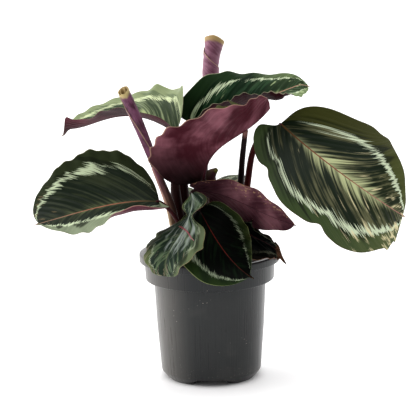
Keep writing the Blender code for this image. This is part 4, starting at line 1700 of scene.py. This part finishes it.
SCROLLS = (
    Scroll(
        "rolled_leaf_left",
        ((-44.6, -19.8, 186), (-49, -18, 200), (-56, -18, 219), (-63, -19, 236), (-70, -20, 252)),
        (3.0, 4.2, 4.8, 5.0, 5.2),
        ScrollFinish(
            light=(0.17, 0.05, 0.11), dark=(0.06, 0.012, 0.03), rim=(0.6, 0.5, 0.22), rim_from=0.95
        ),
        seam_start=0.05, seam_rate=0.5, cut=2.2, cut_turn=0.78,
    ),
    Scroll(
        "rolled_leaf_tall",
        ((1.8, 49.7, 216), (3.2, 60, 248), (4.9, 62, 266), (8.0, 64, 286)),
        (4.2, 7.4, 7.5, 9.2),
        ScrollFinish(light=(0.27, 0.11, 0.17), dark=(0.15, 0.045, 0.08)),
        seam_start=-0.85, seam_rate=1.75, cut=0.8, cut_turn=0.55, arch=1.7,
    ),
)


@dataclass
class Stalks:
    """Every stem, and the two leaves that are still rolled."""

    stems: tuple[Stem, ...]
    scrolls: tuple[Scroll, ...]

    names = {"stalk_brown": "brown_stalk", "stem_dark": "dark_stem", "bud": "leaf_bud"}

    def build(self) -> None:
        """Make every stem and scroll a piece in the place of its CAD node."""
        for stem in self.stems:
            name = self.names.get(stem.name, stem.name.replace("petiole", "stalk"))
            nodes = (stem.name,) if stem.modelled else ()
            stem.surface().piece(name, stem.finish.material(name), stem.slot, nodes)
        for scroll in self.scrolls:
            name = scroll.name.replace("rolled_leaf", "scroll")
            scroll.surface().piece(name, scroll.finish.material(name), "rolled_leaf", (scroll.name,))


# Pot, soil and crown ---------------------------------------------------------------------------


@dataclass
class NurseryPot:
    """The round plastic pot: hooked lip, collar, tapered body, notched foot and drain holes.

    Heights are from the ground, all sizes in millimetres. A level is a radius and a height.
    """

    radius: float
    height: float
    finish: PlasticFinish = PlasticFinish()

    wall = 1.2
    lip_drop = 6.5
    lip_thickness = 2.0
    collar_top = 55.8
    collar_foot = (54.9, 85.6)
    shoulder = (47.8, 84.0)
    waist = (45.9, 45.4)
    heel = (42.8, 6.0)
    foot = 38.5
    ring_inside = 33.5
    pad = 15.0
    channel = 5.5
    steps = 192
    rounding_points = 5
    notches = 4
    notch_reach = (30.5, 48.5)
    notch_half_widths = (24.0, 11.0)
    drains = 8
    drain_place = 24.5
    drain_radius = 3.0
    drain_sides = 24
    drain_below = 2.0
    drain_above = 4.0
    sharp_from = 38.0

    def profile(self) -> list[tuple[float, float, float]]:
        """List the section's corners, up the inside, over the lip and down the outside.

        Returns:
            Radius, height and the size of the rounding for each corner.
        """
        wall, top, channel = self.wall, self.height, self.channel
        under_lip, skirt = top - self.lip_thickness, self.radius - wall
        (collar, collar_z), (shoulder, shoulder_z) = self.collar_foot, self.shoulder
        (waist, waist_z), (heel, heel_z) = self.waist, self.heel
        return [
            (0.0, channel + wall, 0.0),
            (heel - wall, channel + wall, 1.5),
            (waist - wall, waist_z, 0.0),
            (shoulder - wall, shoulder_z + wall, 0.6),
            (collar - wall, collar_z + wall, 1.2),
            (self.collar_top - wall, top - 0.6, 0.5),
            (self.collar_top + 0.4, top, 0.3),
            (self.radius, top, 1.6),
            (self.radius, top - self.lip_drop, 0.35),
            (skirt, top - self.lip_drop, 0.35),
            (skirt, under_lip, 0.8),
            (self.collar_top, under_lip, 0.4),
            (collar, collar_z, 0.8),
            (shoulder, shoulder_z, 0.8),
            (waist, waist_z, 0.0),
            (heel, heel_z, 1.5),
            (self.foot, 0.0, 0.8),
            (self.ring_inside, 0.0, 0.5),
            (self.ring_inside - 1.0, channel, 0.5),
            (self.pad + 1.0, channel, 0.5),
            (self.pad, 0.0, 0.5),
            (0.0, 0.0, 0.0),
        ]

    def rounded(self) -> Array:
        """Round the profile's corners with parabolas of a few points each.

        Returns:
            Radius and height of each point of the rounded profile.
        """
        corners = np.array(self.profile())
        rows = [corners[0, :2]]
        for before, corner, after in zip(corners[:-2], corners[1:-1], corners[2:]):
            middle, size = corner[:2], corner[2]
            if size == 0.0:
                rows.append(middle)
                continue
            start = middle + unit(before[:2] - middle) * size
            end = middle + unit(after[:2] - middle) * size
            t = np.linspace(0.0, 1.0, self.rounding_points)[:, None]
            rows += [*((1 - t) ** 2 * start + 2 * t * (1 - t) * middle + t**2 * end)]
        return np.array([*rows, corners[-1, :2]])

    def turned(self) -> Surface:
        """Turn the rounded profile about Z and close it with a pole at each end.

        Returns:
            The pot, still without notches and holes.
        """
        profile = self.rounded()
        radii, levels = profile[1:-1, :1], profile[1:-1, 1:]
        angle = circle(self.steps)
        rings = triples(radii * np.cos(angle), radii * np.sin(angle), levels)
        return capped(rings, np.array([(0, 0, profile[0, 1]), (0, 0, profile[-1, 1])]))

    def cutters(self) -> Surface:
        """Shape the foot's notches, which widen to the ground, and the drain holes as prisms.

        Returns:
            One surface of all the prisms.
        """
        prisms = []
        near, far = self.notch_reach
        for index in range(self.notches):
            turn = -math.pi / 2 + index * FULL_TURN / self.notches
            ahead = np.array([math.cos(turn), math.sin(turn), 0.0])
            side = np.array([-ahead[1], ahead[0], 0.0])
            ends = []
            for half, level in zip(self.notch_half_widths, (-1.0, self.channel)):
                plan = ((near, -half), (far, -half), (far, half), (near, half))
                ends.append([ahead * reach + side * across + (0, 0, level) for reach, across in plan])
            prisms.append(self.prism(np.array(ends)))
        angle = circle(self.drain_sides)
        for index in range(self.drains):
            turn = (index + 0.5) * FULL_TURN / self.drains
            x = self.drain_place * math.cos(turn) + self.drain_radius * np.cos(angle)
            y = self.drain_place * math.sin(turn) + self.drain_radius * np.sin(angle)
            levels = self.channel + np.array([[-self.drain_below], [self.drain_above]])
            prisms.append(self.prism(triples(x, y, levels)))
        return joined(prisms)

    def prism(self, ends: Array) -> Surface:
        """Close the space between two outlines with flat ends.

        Args:
            ends: The corners of the lower outline and of the upper one.

        Returns:
            The prism.
        """
        count = ends.shape[1]
        low, high = list(range(count)), list(range(count, 2 * count))
        return Surface(ends.reshape(-1, 3), [low[::-1], high, *ring_faces(2, count).tolist()])

    def build(self) -> None:
        """Turn the pot, cut its notches and holes, and give it its finish."""
        pot, cutter = self.turned().item("nursery_pot"), self.cutters().item("pot_cutters")
        cut = pot.modifiers.new("Cut", "BOOLEAN")
        cut.operation, cut.solver, cut.object = "DIFFERENCE", "EXACT", cutter
        graph = bpy.context.evaluated_depsgraph_get()
        mesh = bpy.data.meshes.new_from_object(pot.evaluated_get(graph))
        pot.modifiers.clear()
        pot.data = mesh
        bpy.data.objects.remove(cutter, do_unlink=True)
        mesh.shade_smooth()
        mesh.set_sharp_from_angle(angle=math.radians(self.sharp_from))

        corners = np.empty(len(mesh.vertices) * 3)
        mesh.vertices.foreach_get("co", corners)
        x, y, z = (corners.reshape(-1, 3) / MM).T
        angle = np.arctan2(y, x)
        store(mesh, "wall", triples(np.sin(angle), z, np.cos(angle)))
        settle(pot, self.finish.material("dark_plastic"), ("pot",))


@dataclass
class PottingSoil:
    """The soil in the pot: an uneven top with crumbs and grit lying on it."""

    radius: float
    bottom: float
    top: float
    earth: EarthFinish = EarthFinish()
    grit: EarthFinish = EarthFinish((0.02, 0.012, 0.008), (0.12, 0.08, 0.05), grain_size=0.2)

    seed = 5
    grains = 900
    grain_size = 0.35
    spread = 0.97
    standing = 0.25
    rings = 60
    spokes = 180
    slope = 3.0
    lumps = ((0.09, 0.7), (0.25, 0.35), (0.7, 0.18))
    wall = ((46.0, 85.6), (44.2, 45.0))
    wall_top = 89.0
    foot_share = 0.8
    foot_inset = 2.0
    foot_rise = 1.5

    def height(self, x: Array, y: Array) -> Array:
        """Work out the soil's surface: a low mound with lumps of three sizes, each four sines.

        Args:
            x: Places to the right of the axis.
            y: Places behind it.

        Returns:
            The soil's height there.
        """
        rng = np.random.default_rng(self.seed)
        level = self.top - self.slope * smooth_step(0.6, 1.0, np.hypot(x, y) / self.radius)
        for pitch, size in self.lumps:
            for _ in range(4):
                angle, phase = rng.uniform(0, FULL_TURN, 2)
                wave = pitch * rng.uniform(0.7, 1.3) * 2
                along = x * math.cos(angle) + y * math.sin(angle)
                level = level + size * 0.5 * np.sin(wave * along + phase)
        return level

    def surface(self) -> Surface:
        """Build the soil as a closed body: the lumpy top, a wall and a flat bottom.

        Returns:
            The soil.
        """
        angle = circle(self.spokes)
        right, ahead = np.cos(angle), np.sin(angle)
        away = np.linspace(1.0 / self.rings, 1.0, self.rings)[:, None] * self.radius
        x, y = away * right, away * ahead
        foot = (self.radius * self.foot_share - self.foot_inset, self.bottom + self.foot_rise)
        wall = np.array([(self.radius, self.wall_top), *self.wall, foot])
        rings = [
            triples(x, y, self.height(x, y)),
            triples(wall[:, :1] * right, wall[:, :1] * ahead, wall[:, 1:]),
        ]
        peak = self.height(np.zeros(1), np.zeros(1))[0]
        return capped(np.concatenate(rings), np.array([(0, 0, peak), (0, 0, self.bottom)]))

    def crumbs(self) -> Surface:
        """Scatter crumbs over the top: squashed, jittered 20-sided grains in one mesh.

        Returns:
            All the crumbs.
        """
        rng = np.random.default_rng(self.seed + 1)
        golden = (1 + 5**0.5) / 2
        edge = [(-1, golden), (1, golden), (-1, -golden), (1, -golden)]
        base = [(a, b, 0) for a, b in edge] + [(0, a, b) for a, b in edge] + [(b, 0, a) for a, b in edge]
        faces = [(0, 11, 5), (0, 5, 1), (0, 1, 7), (0, 7, 10), (0, 10, 11), (1, 5, 9), (5, 11, 4)]
        faces += [(11, 10, 2), (10, 7, 6), (7, 1, 8), (3, 9, 4), (3, 4, 2), (3, 2, 6), (3, 6, 8)]
        faces += [(3, 8, 9), (4, 9, 5), (2, 4, 11), (6, 2, 10), (8, 6, 7), (9, 8, 1)]
        away = self.radius * self.spread * np.sqrt(rng.uniform(0.05, 1, self.grains))
        turn = rng.uniform(0, FULL_TURN, self.grains)
        x, y = away * np.cos(turn), away * np.sin(turn)
        size = rng.gamma(2.0, self.grain_size, self.grains) + self.grain_size
        shape = unit(np.array(base))[None] * rng.uniform(0.55, 1.25, (self.grains, 12, 1))
        squash = rng.uniform(0.5, 1.3, (self.grains, 1, 3))
        middle = triples(x, y, self.height(x, y) + size * self.standing)
        corners = shape * squash * size[:, None, None] + middle[:, None]
        offsets = (np.arange(self.grains) * len(base))[:, None, None]
        return Surface(corners.reshape(-1, 3), (np.array(faces)[None] + offsets).reshape(-1, 3).tolist())

    def build(self) -> None:
        """Make the soil and its crumbs."""
        self.surface().piece("potting_soil", self.earth.material("peat"), "soil", ("soil",))
        self.crumbs().piece("soil_crumbs", self.grit.material("crumbs"), "soil", ())


@dataclass
class Rootstock:
    """The clump at the foot of the stems: a lumpy mound with an old sheath round each stem."""

    low: Point
    high: Point
    stems: tuple[Stem, ...]
    finish: BarkFinish = BarkFinish()

    rings = 16
    spokes = 72
    skirt = 1.5
    lumpiness = 0.05
    sheath_steps = 24
    sheath_rows = 20
    sheath_sides = 18
    sheath_width = 1.75
    sheath_taper = 0.55
    sheath_ragged = 0.08
    sheath_seed = 100

    def mound(self) -> Surface:
        """Build the mound: an oval dome with uneven flanks and a flat underside.

        Returns:
            The mound.
        """
        low, high = np.array(self.low), np.array(self.high)
        middle, half = (low + high) / 2, (high - low) / 2
        share = np.linspace(1.0 / self.rings, 1.0, self.rings)[:, None]
        angle = circle(self.spokes)
        uneven = share * (1 + self.lumpiness * wobble(angle * 3, seed=3))
        x = middle[0] + half[0] * np.cos(angle) * uneven
        y = middle[1] + half[1] * np.sin(angle) * uneven
        dome = np.sqrt(np.clip(1 - share**2, 0.0, 1.0))
        z = low[2] + (high[2] - low[2]) * dome * (0.9 + 0.1 * np.sin(x * 0.9) * np.cos(y * 1.3))
        foot = low[2] - self.skirt
        rings = np.concatenate([triples(x, y, z), triples(x[-1:], y[-1:], foot)])
        return capped(rings, np.array([(*middle[:2], high[2]), (*middle[:2], foot)]))

    def sheath(self, stem: Stem) -> Surface:
        """Wrap the foot of a stem in a tapering sheath with an uneven section.

        Args:
            stem: The stem.

        Returns:
            The sheath.
        """
        (x, y, _), *rest = stem.route
        route = ((x, y, self.low[2]), *rest)
        curve = smooth_route(route, stem.radii, self.sheath_steps)[: self.sheath_rows]
        share = np.linspace(0.0, 1.0, len(curve))
        radius = curve[:, 3] * (self.sheath_width - self.sheath_taper * share)
        uneven = wobble(circle(self.sheath_sides) * 2, seed=int(self.sheath_seed + x))
        return tube(curve[:, :3], radius, 1 + self.sheath_ragged * uneven)

    def build(self) -> None:
        """Join the mound and the sheaths in one piece."""
        parts = [self.mound()] + [self.sheath(stem) for stem in self.stems if stem.modelled]
        joined(parts).piece("rootstock", self.finish.material("rootstock"), "crown", ("crown",))


# Studio ----------------------------------------------------------------------------------------


@dataclass
class Studio:
    """A white table, soft white light all round, and the camera. Places are in metres."""

    target: Point = (-0.0006, 0.0, 0.1456)
    elevation: float = 11.5
    roll: float = 1.0
    distance: float = 1.6
    lens: float = 163.04
    back_light: float = 1.5
    front_light: float = 0.2
    left_light: float = 2.5
    lamp_place: Point = (-0.3, 0.1, 1.7)
    lamp_size: float = 1.0
    lamp_power: float = 11.0
    floor: FloorFinish = FloorFinish()

    def table(self) -> None:
        """Lay the table under the pot."""
        bpy.ops.mesh.primitive_plane_add(size=12.0)
        plane = bpy.context.object
        plane.name = "table"
        plane.data.materials.append(self.floor.material("white_table"))

    def world(self) -> None:
        """Surround the plant with white light: strong on its left, weak in front of it."""
        g = Graph("white_room", "Background")
        g.set("Color", (1.0, 1.0, 1.0))
        right, ahead, _ = g.parts(g.node("ShaderNodeTexCoord", {}, output=0))
        light = g.rise(ahead, -0.75, 0.25) * (self.back_light - self.front_light) + self.front_light
        g.set("Strength", light + g.rise(right, -0.45, -1.0) * self.left_light)
        bpy.context.scene.world = g.owner

    def aimed(self, data: bpy.types.ID, place: Point, aim: Array, side: Array) -> bpy.types.Object:
        """Put a light or camera in the scene.

        Args:
            data: The light or camera.
            place: Where it stands or hangs.
            aim: The unit direction that it looks in.
            side: The unit direction of its X axis.

        Returns:
            Its object.
        """
        item = linked(data.name, data)
        matrix = np.eye(4)
        matrix[:3] = np.column_stack([side, np.cross(side, aim), -aim, place])
        item.matrix_world = matrix.T.tolist()
        return item

    def lamp(self) -> None:
        """Hang a square soft light over the plant, and point it at the plant."""
        data = bpy.data.lights.new("top_light", "AREA")
        data.size, data.energy = self.lamp_size, self.lamp_power
        aim = unit(np.array(self.target) - np.array(self.lamp_place))
        self.aimed(data, self.lamp_place, aim, unit(np.cross(aim, (0.0, 0.01, 1.0))))

    def camera(self) -> None:
        """Set up the camera: a long lens that looks down a little on the plant's front."""
        tilt, roll = math.radians(self.elevation), math.radians(self.roll)
        aim = np.array([0.0, math.cos(tilt), -math.sin(tilt)])
        level = np.array([1.0, 0.0, 0.0])
        side = level * math.cos(roll) - np.cross(level, aim) * math.sin(roll)
        data = bpy.data.cameras.new("camera")
        data.lens, data.sensor_width = self.lens, 36.0
        place = np.array(self.target) - aim * self.distance
        bpy.context.scene.camera = self.aimed(data, place, aim, side)

    def build(self) -> None:
        """Set up the whole studio."""
        self.table()
        self.world()
        self.lamp()
        self.camera()
        view = bpy.context.scene.view_settings
        view.view_transform, view.look = "Standard", "None"


def box_mm(node: str) -> tuple[Point, Point]:
    """Find the lowest and highest corners of a CAD node, in millimetres."""
    low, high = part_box(node)
    return tuple(value / MM for value in low), tuple(value / MM for value in high)


def main() -> None:
    """Build the plant, its pot and the studio around the frame."""
    logging.basicConfig(level=logging.INFO, format="%(name)s: %(message)s")
    for item in list(bpy.data.objects):
        bpy.data.objects.remove(item, do_unlink=True)
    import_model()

    Studio().build()
    _, pot = box_mm("pot")
    NurseryPot(radius=pot[0], height=pot[2]).build()
    soil_low, soil_high = box_mm("soil")
    PottingSoil(radius=soil_high[0], bottom=soil_low[2], top=soil_high[2]).build()
    Rootstock(*box_mm("crown"), STEMS).build()
    Foliage(BLADES).build()
    Stalks(STEMS, SCROLLS).build()


if __name__ == "__main__":
    main()
